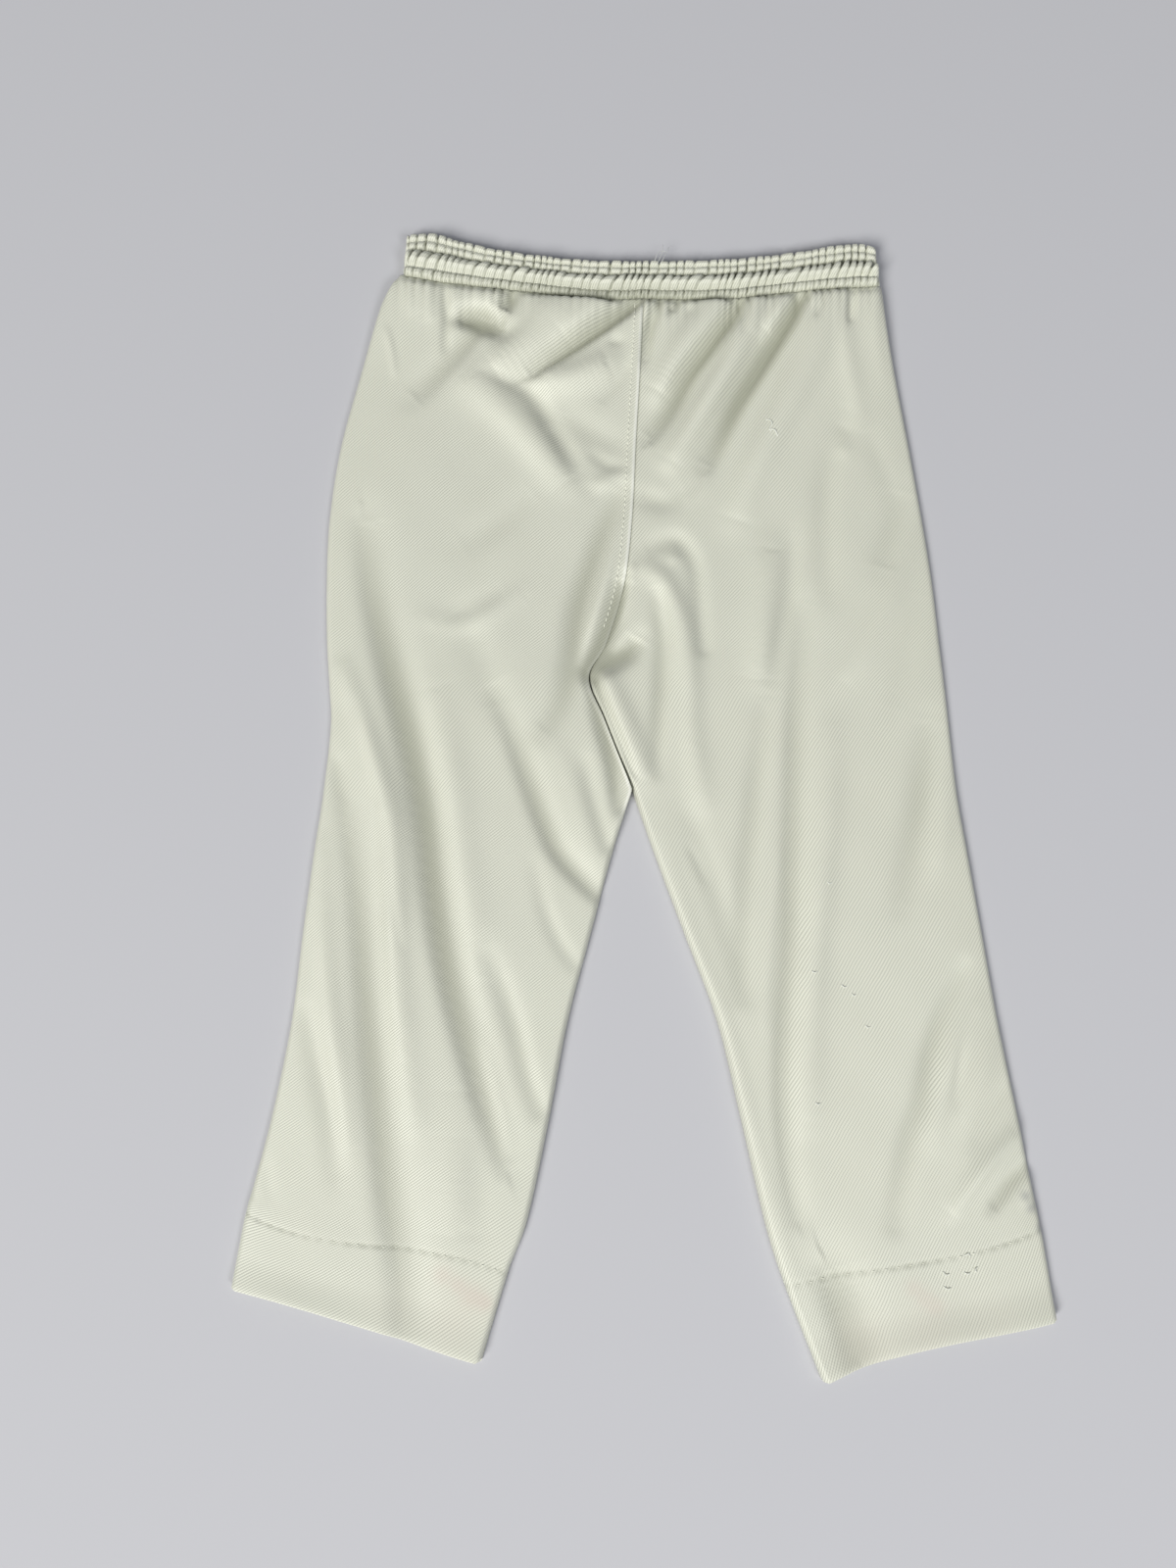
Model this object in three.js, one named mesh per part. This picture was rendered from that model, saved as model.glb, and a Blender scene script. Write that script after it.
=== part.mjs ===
// A child's cricket trousers in a cream diagonal-twill knit, laid flat with the back upwards.
// Four leg panels and a gathered elastic waist casing in four quarters, each its own closed solid.
//
// Units are millimetres, +X across the garment, +Y towards the waist, +Z up from the surface it lies on.
// In the tables x = 0 is the centre seam at the waist and y = 0 is the seam under the waist casing there.
// At the end the group is moved so that its origin is the middle of the underside of its box.
// "Left" is the wearer's left, which is on the -X side because the back is upwards.

import * as THREE from 'three';

// ---------------------------------------------------------------- driving dimensions

const CLOTH = 1.3;              // thickness of the knit, as one wall
const FRONT_CLOTH = 1.2;        // the lower layer, pressed flat by its own weight
const HEM_CLOTH = 2.3;          // the turned-up hem, two thicknesses of cloth
const SEAM_GAP = 0.3;           // space between neighbouring pieces at a seam
const SEAM_HALF = SEAM_GAP / 2;

const LOFT = 1.6;               // air between the two layers near the sides of a leg
const LEAST_LOFT = 0.1;         // air left at the bottom of a trough
const MOST_LOFT = 9.0;          // air under the crest of the highest fold
const SWELL = 2.8;              // extra height along the middle of each leg
const WAIST_HOLD = 14.0;        // the casing's stitching holds the cloth down over this length below it
const WAIST_HOLD_SHARE = 0.5;   // and takes away this share of its height there

const EDGE_ROLL = 3.0;          // reach of the curve where a side folds over to the lower layer
const ROLL_ANGLES = [0, 30, 60].map(THREE.MathUtils.degToRad);

const COLUMN_PITCH = 8.0;       // grid pitch across a back panel
const ROW_PITCH = 17.0;         // grid pitch down a back panel
const FRONT_COLUMNS = 8;        // a front panel is plain, so it needs few columns
const FRONT_ROW_PITCH = 40.0;   // and few rows
const HEM_STEP = 0.8;           // length over which the wall thickens at the hem stitching

const HEM_PEEK = 0.8;           // the left hem's lower layer shows below the upper one by this,
const HEM_PEEK_FROM = 0.4;      // starting at this share across the leg
const HEM_PEEK_REACH = 0.3;     // and reaching its full amount over this much more

const CASING_LEFT_END = -131.5; // the ends of the elasticated casing at the waist seam
const CASING_RIGHT_END = 129.0;
const CASING_FLOOR = 2.4;       // thickness of the front half of the waist casing
const CASING_LIP = 0.9;         // height of the casing's wall at its turned ends
const CASING_END_LEAN = 1.6;    // the casing's ends lean in by this towards the top edge
const GATHER_PITCH = 4.8;       // from one gather to the next along the casing
const GATHER_DRIFT = 0.9;       // how far the gathers wander from an even pitch
const GATHER_STEPS = 5;         // grid columns in one gather

// Where each section crosses a leg. inner is the centre seam down to the crotch and the inside leg
// below it; bow_a and bow_b lift the row at one and two thirds of the way from outer to inner.
const SECTION_COLUMNS = ['name', 'outer_x', 'outer_y', 'inner_x', 'inner_y', 'bow_a', 'bow_b'];

const LEFT_SECTIONS = table(SECTION_COLUMNS, [
  ['waist', -134.5, 12.5, 0.0, -0.6, 0, 0],
  ['below_waist', -143.5, -3.0, -0.8, -14.0, -1, -1],
  ['upper_seat', -154.0, -41.0, -2.2, -42.0, 0, 0],
  ['seat', -164.5, -83.0, -4.5, -82.0, 0, 0],
  ['lower_seat', -169.8, -123.0, -6.6, -122.0, 0, 0],
  ['rise', -170.7, -158.0, -10.8, -158.0, 0, 0],
  ['rise_end', -169.9, -190.0, -20.3, -190.0, 0, 0],
  ['crotch', -168.2, -214.0, -29.9, -209.0, 0, 0],
  ['side_kink', -167.1, -235.0, -21.5, -232.0, 0, 0],
  ['strip_end', -170.4, -271.0, -7.2, -269.0, 0, 0],
  ['upper_leg', -174.6, -302.0, -17.8, -303.0, 0, 0],
  ['thigh', -179.6, -344.0, -28.8, -344.0, 0, 0],
  ['knee', -184.4, -389.0, -41.0, -390.0, 0, 0],
  ['calf', -193.0, -435.0, -51.0, -442.0, 0, 0],
  ['shin', -202.0, -472.0, -61.5, -490.0, -2, 1],
  ['hem_stitch', -205.6, -485.5, -71.0, -515.5, -3.5, 1.5],
  ['hem', -212.0, -522.5, -84.5, -559.5, 1.8, 0.8],
]);

const RIGHT_SECTIONS = table(SECTION_COLUMNS, [
  ['waist', 130.5, 6.0, 0.0, -0.6, 0, 0],
  ['below_waist', 132.4, -12.0, -0.8, -14.0, -1, -1],
  ['upper_seat', 136.7, -41.0, -2.2, -42.0, 0, 0],
  ['seat', 143.6, -83.0, -4.5, -82.0, 0, 0],
  ['lower_seat', 149.6, -122.0, -6.6, -122.0, 0, 0],
  ['rise', 154.3, -158.0, -10.8, -158.0, 0, 0],
  ['rise_end', 157.2, -190.0, -20.3, -190.0, 0, 0],
  ['crotch', 159.5, -214.0, -29.9, -209.0, 0, 0],
  ['side_kink', 161.3, -235.0, -21.5, -232.0, 0, 0],
  ['strip_end', 164.4, -270.0, -7.2, -269.0, 0, 0],
  ['upper_leg', 169.2, -302.0, 4.6, -303.0, 0, 0],
  ['thigh', 175.6, -344.0, 18.8, -344.0, 0, 0],
  ['knee', 182.4, -389.0, 33.0, -390.0, 0, 0],
  ['calf', 190.6, -434.0, 44.6, -440.0, 0, 0],
  ['shin', 197.6, -474.0, 57.0, -492.0, -1, 0],
  ['hem_stitch', 201.2, -493.5, 68.0, -522.0, -3.6, -1.2],
  ['hem', 207.5, -538.0, 87.5, -568.5, 2.7, 4.4],
]);

const LEGS_PART = 'strip_end';

// The seam under the casing and the casing's top edge, from the left end of the waist to the right.
const WAIST = table(['x', 'seam_y', 'top_y'], [
  [-134.5, 12.5, 34.5],
  [-117.0, 9.0, 36.0],
  [-100.0, 6.8, 31.5],
  [-73.0, 3.9, 25.3],
  [-46.0, 1.1, 22.0],
  [-22.0, -0.9, 20.4],
  [0.0, -0.6, 20.0],
  [24.0, -1.2, 20.6],
  [50.0, -0.8, 21.4],
  [70.0, 1.2, 23.4],
  [90.0, 3.3, 26.4],
  [110.0, 4.6, 29.6],
  [122.0, 5.2, 29.3],
  [130.5, 6.0, 26.5],
]);

// Rows of the casing, from its top edge down: four stitched channels with a groove between each two.
// gather is how high the gathers stand there, lean how far each one has moved towards the left side.
const CASING_ROWS = table(['name', 'at', 'height', 'gather', 'lean'], [
  ['top_edge', 0.0, 1.8, 0.3, 0.0],
  ['channel_1', 0.1, 6.4, 0.8, 0.0],
  ['groove_1', 0.205, 5.0, 0.5, 0.2],
  ['channel_2', 0.305, 6.2, 0.8, 0.5],
  ['groove_2', 0.405, 3.4, 0.4, 0.8],
  ['channel_3_top', 0.52, 8.4, 1.0, 1.6],
  ['channel_3_foot', 0.66, 8.8, 1.0, 2.8],
  ['groove_3', 0.78, 4.4, 0.4, 3.6],
  ['channel_4', 0.89, 5.4, 0.5, 3.9],
  ['lower_seam', 1.0, 3.2, 0.3, 4.2],
]);

// Folds of the upper layer: a path from start to end, bent sideways by bend at its middle, with a soft
// cross-section of the given half width. A positive rise is a ridge and a negative one is a trough.
const FOLD_COLUMNS = ['name', 'start_x', 'start_y', 'end_x', 'end_y', 'bend', 'half_width', 'rise'];

const LEFT_FOLDS = table(FOLD_COLUMNS, [
  ['seat_trough_inner', -12, 2, -61, -42, 4, 9, -3.9],
  ['seat_ridge_inner', -36, 2, -86, -44, 5, 9, 4.1],
  ['seat_trough_small', -70, 0, -94, -17, 3, 8, -3.4],
  ['seat_ridge_outer', -86, 2, -116, -36, 3, 9, 3.4],
  ['seat_trough_outer', -94, -21, -120, -53, 2, 9, -3.4],
  ['seat_cross_trough', -91, -45, -36, -112, 3, 14, -3.4],
  ['seat_cross_ridge', -66, -44, -22, -104, 3, 10, 2.3],
  ['seam_hollow', -22, -84, -9, -101, 0, 7, -2.1],
  ['rise_groove', -16, -119, -40, -186, 2, 8, -3.0],
  ['crotch_hollow', -13, -163, -33, -205, -3, 8, -4.1],
  ['hip_hollow', -150, -38, -147, -186, 0, 16, -2.1],
  ['side_crease', -108, -6, -106, -40, 0, 7, -1.4],
  ['outer_crease', -140, -1, -133, -46, 0, 7, -1.6],
  ['kink_trough', -166, -236, -150, -382, -5, 8, -3.7],
  ['long_ridge', -153, -222, -122, -345, -4, 9, 4.1],
  ['long_trough', -143, -224, -94, -402, -8, 10, -4.4],
  ['inner_trough', -92, -210, -25, -328, 3, 11, -3.9],
  ['inner_ridge', -72, -214, -22, -296, 3, 10, 2.5],
  ['strip_hollow', -28, -232, -11, -267, 0, 7, -3.2],
  ['below_strip_crease', -28, -280, -18, -299, 0, 7, -2.1],
  ['inner_knee_crease', -58, -313, -40, -364, -2, 8, -2.3],
  ['middle_knee_crease', -84, -352, -61, -388, 0, 9, -2.1],
  ['shin_trough', -152, -408, -128, -524, -4, 12, -3.0],
  ['shin_ridge', -128, -404, -104, -520, -4, 14, 2.3],
  ['calf_crease', -100, -407, -83, -434, 0, 8, -1.8],
  ['calf_inner_crease', -68, -413, -53, -434, 0, 7, -1.8],
  ['calf_outer_crease', -188, -432, -194, -470, 0, 7, -1.6],
]);

const RIGHT_FOLDS = table(FOLD_COLUMNS, [
  ['seat_ridge_inner', 31, 2, 0, -50, 0, 8, 3.0],
  ['seat_trough_inner', 50, 0, 0, -82, 4, 9, -3.9],
  ['seat_ridge_middle', 66, 2, 16, -88, 5, 9, 3.7],
  ['seat_trough_middle', 82, 2, 29, -98, 8, 9, -3.7],
  ['seat_ridge_outer', 97, 2, 58, -66, 4, 9, 2.8],
  ['side_crease', 111, 0, 129, -101, -2, 8, -2.5],
  ['rise_bulge', 2, -120, 3, -180, -2, 13, 3.7],
  ['rise_fold', 17, -132, 29, -193, 0, 8, -3.2],
  ['hip_hollow', 79, -153, 60, -209, 0, 14, -1.6],
  ['crotch_strip', -23, -206, -6, -266, -1, 8, 5.5],
  ['strip_crease', -12, -206, 2, -262, 0, 8, -3.2],
  ['inside_leg_ridge', 27, -330, 78, -545, 6, 8, 2.3],
  ['inside_leg_trough', 73, -322, 78, -506, 17, 10, -4.1],
  ['middle_ridge', 88, -330, 96, -480, 10, 14, 2.8],
  ['knee_trough', 167, -364, 122, -474, 5, 13, -4.1],
  ['knee_ridge', 182, -372, 146, -462, 5, 12, 3.0],
  ['calf_crease', 182, -424, 163, -453, 0, 8, -2.3],
  ['shin_crease', 190, -455, 170, -485, 0, 8, -3.9],
  ['calf_small_crease', 160, -400, 156, -432, 0, 7, -1.8],
]);

// How far a shared seam has turned over into a free side fold (0 = seam, 1 = fold), down the leg.
const LEFT_INNER_ROLL = { from: 'strip_end', to: 'upper_leg' };
const RIGHT_INNER_ROLL = { from: 'rise_end', to: 'crotch' };

// ---------------------------------------------------------------- colours

const CREAM = 0xd9dbcb;
const WARM_CREAM = 0xd6d3c3;
const TWILL = { color: CREAM, roughness: 0.62, metalness: 0.0 };
const CASING = { color: WARM_CREAM, roughness: 0.6, metalness: 0.0 };

// ---------------------------------------------------------------- small helpers

function table(columns, rows) {
  return rows.map((row) => Object.fromEntries(columns.map((column, i) => [column, row[i]])));
}

function smooth(t) {
  const s = THREE.MathUtils.clamp(t, 0, 1);
  return s * s * (3 - 2 * s);
}

// Cubic curve through the values of one column, at a fractional row number. The inner edge has a sharp
// corner where the legs part, so the curve there doesn't look past it.
function along(rows, column, at) {
  const last = rows.length - 1;
  const i = Math.min(Math.floor(at), last - 1);
  const t = at - i;
  const corner = column.startsWith('inner') ? sectionNumber(rows, LEGS_PART) : last;
  const lowest = i >= corner ? corner : 0;
  const highest = i < corner ? corner : last;
  const value = (k) => rows[THREE.MathUtils.clamp(k, lowest, highest)][column];
  const slopeIn = (value(i + 1) - value(i - 1)) / 2;
  const slopeOut = (value(i + 2) - value(i)) / 2;
  const rise = value(i + 1) - value(i);
  const bend = 3 * rise - 2 * slopeIn - slopeOut;
  const twist = slopeIn + slopeOut - 2 * rise;
  return value(i) + t * (slopeIn + t * (bend + t * twist));
}

// The same curve for a column read against x, for the waist.
function waistAt(column, x) {
  const last = WAIST.length - 1;
  const next = WAIST.findIndex((row) => row.x >= x);
  const i = THREE.MathUtils.clamp(next - 1, 0, last - 1);
  const t = (x - WAIST[i].x) / (WAIST[i + 1].x - WAIST[i].x);
  const before = WAIST[Math.max(i - 1, 0)];
  const after = WAIST[Math.min(i + 2, last)];
  const span = WAIST[i + 1].x - WAIST[i].x;
  const slopeIn = span * (WAIST[i + 1][column] - before[column]) / (WAIST[i + 1].x - before.x);
  const slopeOut = span * (after[column] - WAIST[i][column]) / (after.x - WAIST[i].x);
  const rise = WAIST[i + 1][column] - WAIST[i][column];
  const bend = 3 * rise - 2 * slopeIn - slopeOut;
  const twist = slopeIn + slopeOut - 2 * rise;
  return WAIST[i][column] + t * (slopeIn + t * (bend + t * twist));
}

function sectionNumber(sections, name) {
  return sections.findIndex((section) => section.name === name);
}

// ---------------------------------------------------------------- the fall of the upper layer

const FOLD_SAMPLES = 32;        // points tried along a fold's path
const FOLD_END_SHARE = 0.12;    // how much of its half wave a fold has lost where it starts and ends
const FOLD_FULLNESS = 0.7;      // below 1, a fold keeps its height over more of its length

// Distance from a point to a fold's bent path, and how far along the path the nearest point is.
function nearestOnFold(fold, x, y) {
  const dx = fold.end_x - fold.start_x;
  const dy = fold.end_y - fold.start_y;
  const length = Math.hypot(dx, dy);
  let best = { distance: Infinity, along: 0 };
  for (let k = 0; k <= FOLD_SAMPLES; k += 1) {
    const t = k / FOLD_SAMPLES;
    const side = fold.bend * 4 * t * (1 - t);
    const px = fold.start_x + dx * t - (dy / length) * side;
    const py = fold.start_y + dy * t + (dx / length) * side;
    const distance = Math.hypot(x - px, y - py);
    if (distance < best.distance) {
      best = { distance, along: t };
    }
  }
  return best;
}

// Height of the upper layer's skin over the lower layer's top, less its own thickness: the air under it.
// The folds of both halves count on both panels, so that the two meet at one height along their seam.
function airUnder(x, y, across) {
  let air = LOFT + SWELL * Math.sin(Math.PI * across);
  for (const fold of [...LEFT_FOLDS, ...RIGHT_FOLDS]) {
    const near = nearestOnFold(fold, x, y);
    const section = Math.exp(-((near.distance / fold.half_width) ** 2));
    const wave = Math.PI * THREE.MathUtils.lerp(FOLD_END_SHARE, 1 - FOLD_END_SHARE, near.along);
    const fade = Math.sin(wave) ** FOLD_FULLNESS;
    air += fold.rise * section * fade;
  }
  const held = WAIST_HOLD_SHARE * (1 - smooth((waistAt('seam_y', x) - y) / WAIST_HOLD));
  return softLimit(air * (1 - held));
}

// Keeps the air between its least and most, bending towards each limit instead of cutting off.
function softLimit(air) {
  const middle = (MOST_LOFT + LEAST_LOFT) / 2;
  const half = (MOST_LOFT - LEAST_LOFT) / 2;
  return middle + half * Math.tanh((air - middle) / half);
}

// ---------------------------------------------------------------- closed walls from grids

// Joins an outer and an inner grid of points, of the same size, into one closed body facing outwards.
// Both grids run from the outer side to the inner side, and from the waist down; flip is for the leg
// whose columns run from +X to -X.
function closedWall(outer, inner, flip) {
  const rows = outer.length;
  const columns = outer[0].length;
  const positions = [];
  for (const grid of [outer, inner]) {
    for (const row of grid) {
      for (const point of row) {
        positions.push(point.x, point.y, point.z);
      }
    }
  }
  const index = [];
  const top = (r, c) => r * columns + c;
  const under = (r, c) => rows * columns + r * columns + c;
  const quad = (a, b, c, d) => {
    if (flip) {
      index.push(a, c, b, a, d, c);
    } else {
      index.push(a, b, c, a, c, d);
    }
  };
  for (let r = 0; r < rows - 1; r += 1) {
    for (let c = 0; c < columns - 1; c += 1) {
      quad(top(r, c), top(r + 1, c), top(r + 1, c + 1), top(r, c + 1));
      quad(under(r, c), under(r, c + 1), under(r + 1, c + 1), under(r + 1, c));
    }
    quad(top(r, 0), under(r, 0), under(r + 1, 0), top(r + 1, 0));
    quad(top(r, columns - 1), top(r + 1, columns - 1), under(r + 1, columns - 1), under(r, columns - 1));
  }
  for (let c = 0; c < columns - 1; c += 1) {
    quad(top(0, c), top(0, c + 1), under(0, c + 1), under(0, c));
    quad(top(rows - 1, c), under(rows - 1, c), under(rows - 1, c + 1), top(rows - 1, c + 1));
  }
  return solid(positions, index);
}

// Closes a grid of skin points over a plain flat inside at one height, which needs points only under the
// grid's first and last rows. Each end of the grid is closed by a fan.
function wallOverFlat(skin, insideZ, flip) {
  const rows = skin.length;
  const columns = skin[0].length;
  const positions = skin.flat().flatMap((point) => [point.x, point.y, point.z]);
  for (const row of [skin[0], skin[rows - 1]]) {
    for (const point of row) {
      positions.push(point.x, point.y, insideZ);
    }
  }
  const index = [];
  const top = (r, c) => r * columns + c;
  const head = (c) => rows * columns + c;
  const foot = (c) => (rows + 1) * columns + c;
  const triangle = (a, b, c) => index.push(...(flip ? [a, c, b] : [a, b, c]));
  const quad = (a, b, c, d) => {
    triangle(a, b, c);
    triangle(a, c, d);
  };
  for (let c = 0; c < columns - 1; c += 1) {
    for (let r = 0; r < rows - 1; r += 1) {
      quad(top(r, c), top(r + 1, c), top(r + 1, c + 1), top(r, c + 1));
    }
    quad(head(c), head(c + 1), foot(c + 1), foot(c));
    quad(top(0, c), top(0, c + 1), head(c + 1), head(c));
    quad(top(rows - 1, c), foot(c), foot(c + 1), top(rows - 1, c + 1));
  }
  const last = columns - 1;
  for (let r = 0; r < rows - 1; r += 1) {
    triangle(head(0), top(r + 1, 0), top(r, 0));
    triangle(head(last), top(r, last), top(r + 1, last));
  }
  triangle(head(0), foot(0), top(rows - 1, 0));
  triangle(head(last), top(rows - 1, last), foot(last));
  return solid(positions, index);
}

function solid(positions, index) {
  const geometry = new THREE.BufferGeometry();
  geometry.setAttribute('position', new THREE.Float32BufferAttribute(positions, 3));
  geometry.setIndex(index);
  geometry.computeVertexNormals();
  return geometry;
}

// ---------------------------------------------------------------- leg panels

const THIRDS_CUBIC = 27 / 2;    // makes a cubic with zeros at both ends and one third reach 1 at the other

// Plan of a panel: the point at a share across (0 outer, 1 inner) and a fractional section number.
function planPoint(sections, across, at) {
  const bowA = THIRDS_CUBIC * across * (across - 2 / 3) * (across - 1);
  const bowB = -THIRDS_CUBIC * across * (across - 1 / 3) * (across - 1);
  const x = THREE.MathUtils.lerp(along(sections, 'outer_x', at), along(sections, 'inner_x', at), across);
  const outerY = along(sections, 'outer_y', at);
  const straight = THREE.MathUtils.lerp(outerY, along(sections, 'inner_y', at), across);
  const bow = bowA * along(sections, 'bow_a', at) + bowB * along(sections, 'bow_b', at);
  return { x, y: straight + bow + waistDrop(sections, across) * smooth(1 - at) };
}

// How far the seam under the casing lies below a straight line between its ends.
function waistDrop(sections, across) {
  const first = sections[0];
  const x = THREE.MathUtils.lerp(first.outer_x, first.inner_x, across);
  return waistAt('seam_y', x) - THREE.MathUtils.lerp(first.outer_y, first.inner_y, across);
}

// Section numbers of the grid rows: an even pitch down the leg, with a row on each side of the hem
// stitching, where the wall thickens.
function rowNumbers(sections, pitch) {
  const numbers = [];
  const hem = sectionNumber(sections, 'hem_stitch');
  for (let i = 0; i < sections.length - 1; i += 1) {
    const drop = sections[i].inner_y - sections[i + 1].inner_y;
    const steps = Math.max(1, Math.round(drop / pitch));
    for (let k = 0; k < steps; k += 1) {
      numbers.push(i + k / steps);
    }
    if (i === hem) {
      const half = HEM_STEP / 2 / drop;
      numbers.splice(numbers.indexOf(hem), 1, hem - half, hem + half);
      numbers.sort((a, b) => a - b);
    }
  }
  numbers.push(sections.length - 1);
  return numbers;
}

function inHem(sections, at) {
  return at > sectionNumber(sections, 'hem_stitch');
}

// Thickness of the lower layer, on which the upper one rests.
function lowerLayer(sections, at) {
  return inHem(sections, at) ? HEM_CLOTH : FRONT_CLOTH;
}

function rollShare(sections, roll, at) {
  const from = sectionNumber(sections, roll.from);
  const to = sectionNumber(sections, roll.to);
  return smooth((at - from) / (to - from));
}

// One row of a back panel: points of the skin and of the inside, from the outer side to the inner side.
function backRow(leg, at, columns) {
  const { sections, innerRoll, hemPeek } = leg;
  const outerEdge = planPoint(sections, 0, at);
  const innerEdge = planPoint(sections, 1, at);
  const width = Math.hypot(innerEdge.x - outerEdge.x, innerEdge.y - outerEdge.y);
  const cloth = inHem(sections, at) ? HEM_CLOTH : CLOTH;
  const floor = lowerLayer(sections, at) + SEAM_GAP;
  const hemRise = hemPeek * smooth(at - (sections.length - 2));
  const topShift = at === 0 ? SEAM_HALF : 0;
  const skin = [];
  const inside = [];

  const place = (reach, insideReach, fromInner, roll, angle) => {
    const toAcross = (d) => (fromInner ? 1 - (d + SEAM_HALF) / width : d / width);
    const across = toAcross(reach);
    const acrossInside = toAcross(insideReach);
    const point = planPoint(sections, across, at);
    const pointInside = planPoint(sections, acrossInside, at);
    const full = floor + cloth + airUnder(point.x, point.y, across);
    const turned = floor + (full - floor) * Math.sin(angle);
    const turnedInside = floor + (full - cloth - floor) * Math.sin(angle);
    const z = THREE.MathUtils.lerp(full, turned, roll);
    const zInside = THREE.MathUtils.lerp(full - cloth, turnedInside, roll);
    const shift = hemRise * smooth((across - HEM_PEEK_FROM) / HEM_PEEK_REACH) - topShift;
    skin.push({ x: point.x, y: point.y + shift, z });
    inside.push({ x: pointInside.x, y: pointInside.y + shift, z: zInside });
  };

  const rollPoint = (angle, roll, fromInner) => {
    const even = EDGE_ROLL * angle / (Math.PI / 2);
    const curved = EDGE_ROLL * (1 - Math.cos(angle));
    const curvedInside = EDGE_ROLL - (EDGE_ROLL - cloth) * Math.cos(angle);
    const reach = THREE.MathUtils.lerp(even, curved, roll);
    const insideReach = THREE.MathUtils.lerp(even, curvedInside, roll);
    place(reach, insideReach, fromInner, roll, angle);
  };

  for (const angle of ROLL_ANGLES) {
    rollPoint(angle, 1, false);
  }
  const between = width - 2 * EDGE_ROLL - SEAM_HALF;
  for (let c = 0; c <= columns; c += 1) {
    const reach = EDGE_ROLL + between * c / columns;
    place(reach, reach, false, 0, Math.PI / 2);
  }
  const innerShare = rollShare(sections, innerRoll, at);
  for (const angle of [...ROLL_ANGLES].reverse()) {
    rollPoint(angle, innerShare, true);
  }
  return { skin, inside };
}

function backPanel(leg) {
  const widest = leg.sections[sectionNumber(leg.sections, 'seat')];
  const columns = Math.round(Math.abs(widest.outer_x - widest.inner_x) / COLUMN_PITCH);
  const rows = rowNumbers(leg.sections, ROW_PITCH).map((at) => backRow(leg, at, columns));
  return closedWall(rows.map((row) => row.skin), rows.map((row) => row.inside), leg.flip);
}

// A front panel is the lower layer: flat underneath, with the same outline and the hem turned up inside.
function frontPanel(leg) {
  const { sections } = leg;
  const numbers = rowNumbers(sections, FRONT_ROW_PITCH);
  const top = [];
  const underneath = [];
  for (const at of numbers) {
    const edge = planPoint(sections, 1, at);
    const outer = planPoint(sections, 0, at);
    const width = Math.hypot(edge.x - outer.x, edge.y - outer.y);
    const thick = lowerLayer(sections, at);
    const topShift = at === 0 ? SEAM_HALF : 0;
    const row = [];
    for (let c = 0; c <= FRONT_COLUMNS; c += 1) {
      const across = (1 - SEAM_HALF / width) * c / FRONT_COLUMNS;
      const point = planPoint(sections, across, at);
      row.push({ x: point.x, y: point.y - topShift });
    }
    top.push(row.map(({ x, y }) => ({ x, y, z: thick })));
    underneath.push(row.map(({ x, y }) => ({ x, y, z: 0 })));
  }
  return closedWall(top, underneath, leg.flip);
}

// ---------------------------------------------------------------- waist casing

const CASING_BASE = CASING_FLOOR + SEAM_GAP;

// Columns of half a casing, from its outer end to the centre seam.
function casingColumns(side) {
  const outerX = side === 'left' ? CASING_LEFT_END : CASING_RIGHT_END;
  const toCentre = Math.sign(-outerX);
  const seamX = -toCentre * SEAM_HALF;
  const length = Math.abs(seamX - outerX);
  const steps = Math.round(length / GATHER_PITCH) * GATHER_STEPS;
  const columns = ROLL_ANGLES.map((angle) => ({
    x: outerX + toCentre * EDGE_ROLL * (1 - Math.cos(angle)),
    turn: Math.sin(angle),
  }));
  for (let c = 0; c <= steps; c += 1) {
    columns.push({ x: outerX + toCentre * (EDGE_ROLL + (length - EDGE_ROLL) * c / steps), turn: 1 });
  }
  return { columns, outerX };
}

// The gathers as a wave along the casing, with an uneven pitch: 1 on a crest and -1 in a valley.
function gatherWave(x) {
  const drift = GATHER_DRIFT * (Math.sin(x / 11.3) + 0.6 * Math.sin(x / 5.9 + 1.3));
  return Math.sin(2 * Math.PI * (x + drift) / GATHER_PITCH);
}

function casingPoint(x, row, outerX) {
  const seamY = waistAt('seam_y', x) + SEAM_HALF;
  const topY = waistAt('top_y', x);
  const lean = -Math.sign(outerX) * CASING_END_LEAN * (1 - row.at) * (x / outerX);
  return { x: x + lean, y: THREE.MathUtils.lerp(topY, seamY, row.at) };
}

function casingBack(side) {
  const { columns, outerX } = casingColumns(side);
  const skin = CASING_ROWS.map((row) => columns.map((column) => {
    const plan = casingPoint(column.x, row, outerX);
    const gathered = row.height + row.gather * gatherWave(column.x + row.lean);
    const height = CASING_LIP + (gathered - CASING_LIP) * column.turn;
    return { ...plan, z: CASING_BASE + height };
  }));
  return wallOverFlat(skin, CASING_BASE, side === 'right');
}

function casingFront(side) {
  const { columns, outerX } = casingColumns(side);
  const plain = columns.filter((column, c) => c % GATHER_STEPS === 0 || c === columns.length - 1);
  const ends = [CASING_ROWS[0], CASING_ROWS[CASING_ROWS.length - 1]];
  const flat = ends.map((row) => plain.map((column) => casingPoint(column.x, row, outerX)));
  const top = flat.map((row) => row.map((plan) => ({ ...plan, z: CASING_FLOOR })));
  return wallOverFlat(top, 0, side === 'right');
}

// ---------------------------------------------------------------- the garment

const LEGS = {
  left: { sections: LEFT_SECTIONS, innerRoll: LEFT_INNER_ROLL, hemPeek: HEM_PEEK, flip: false },
  right: { sections: RIGHT_SECTIONS, innerRoll: RIGHT_INNER_ROLL, hemPeek: 0, flip: true },
};

function piece(name, geometry, finish) {
  const mesh = new THREE.Mesh(geometry, new THREE.MeshStandardMaterial(finish));
  mesh.name = name;
  return mesh;
}

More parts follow.
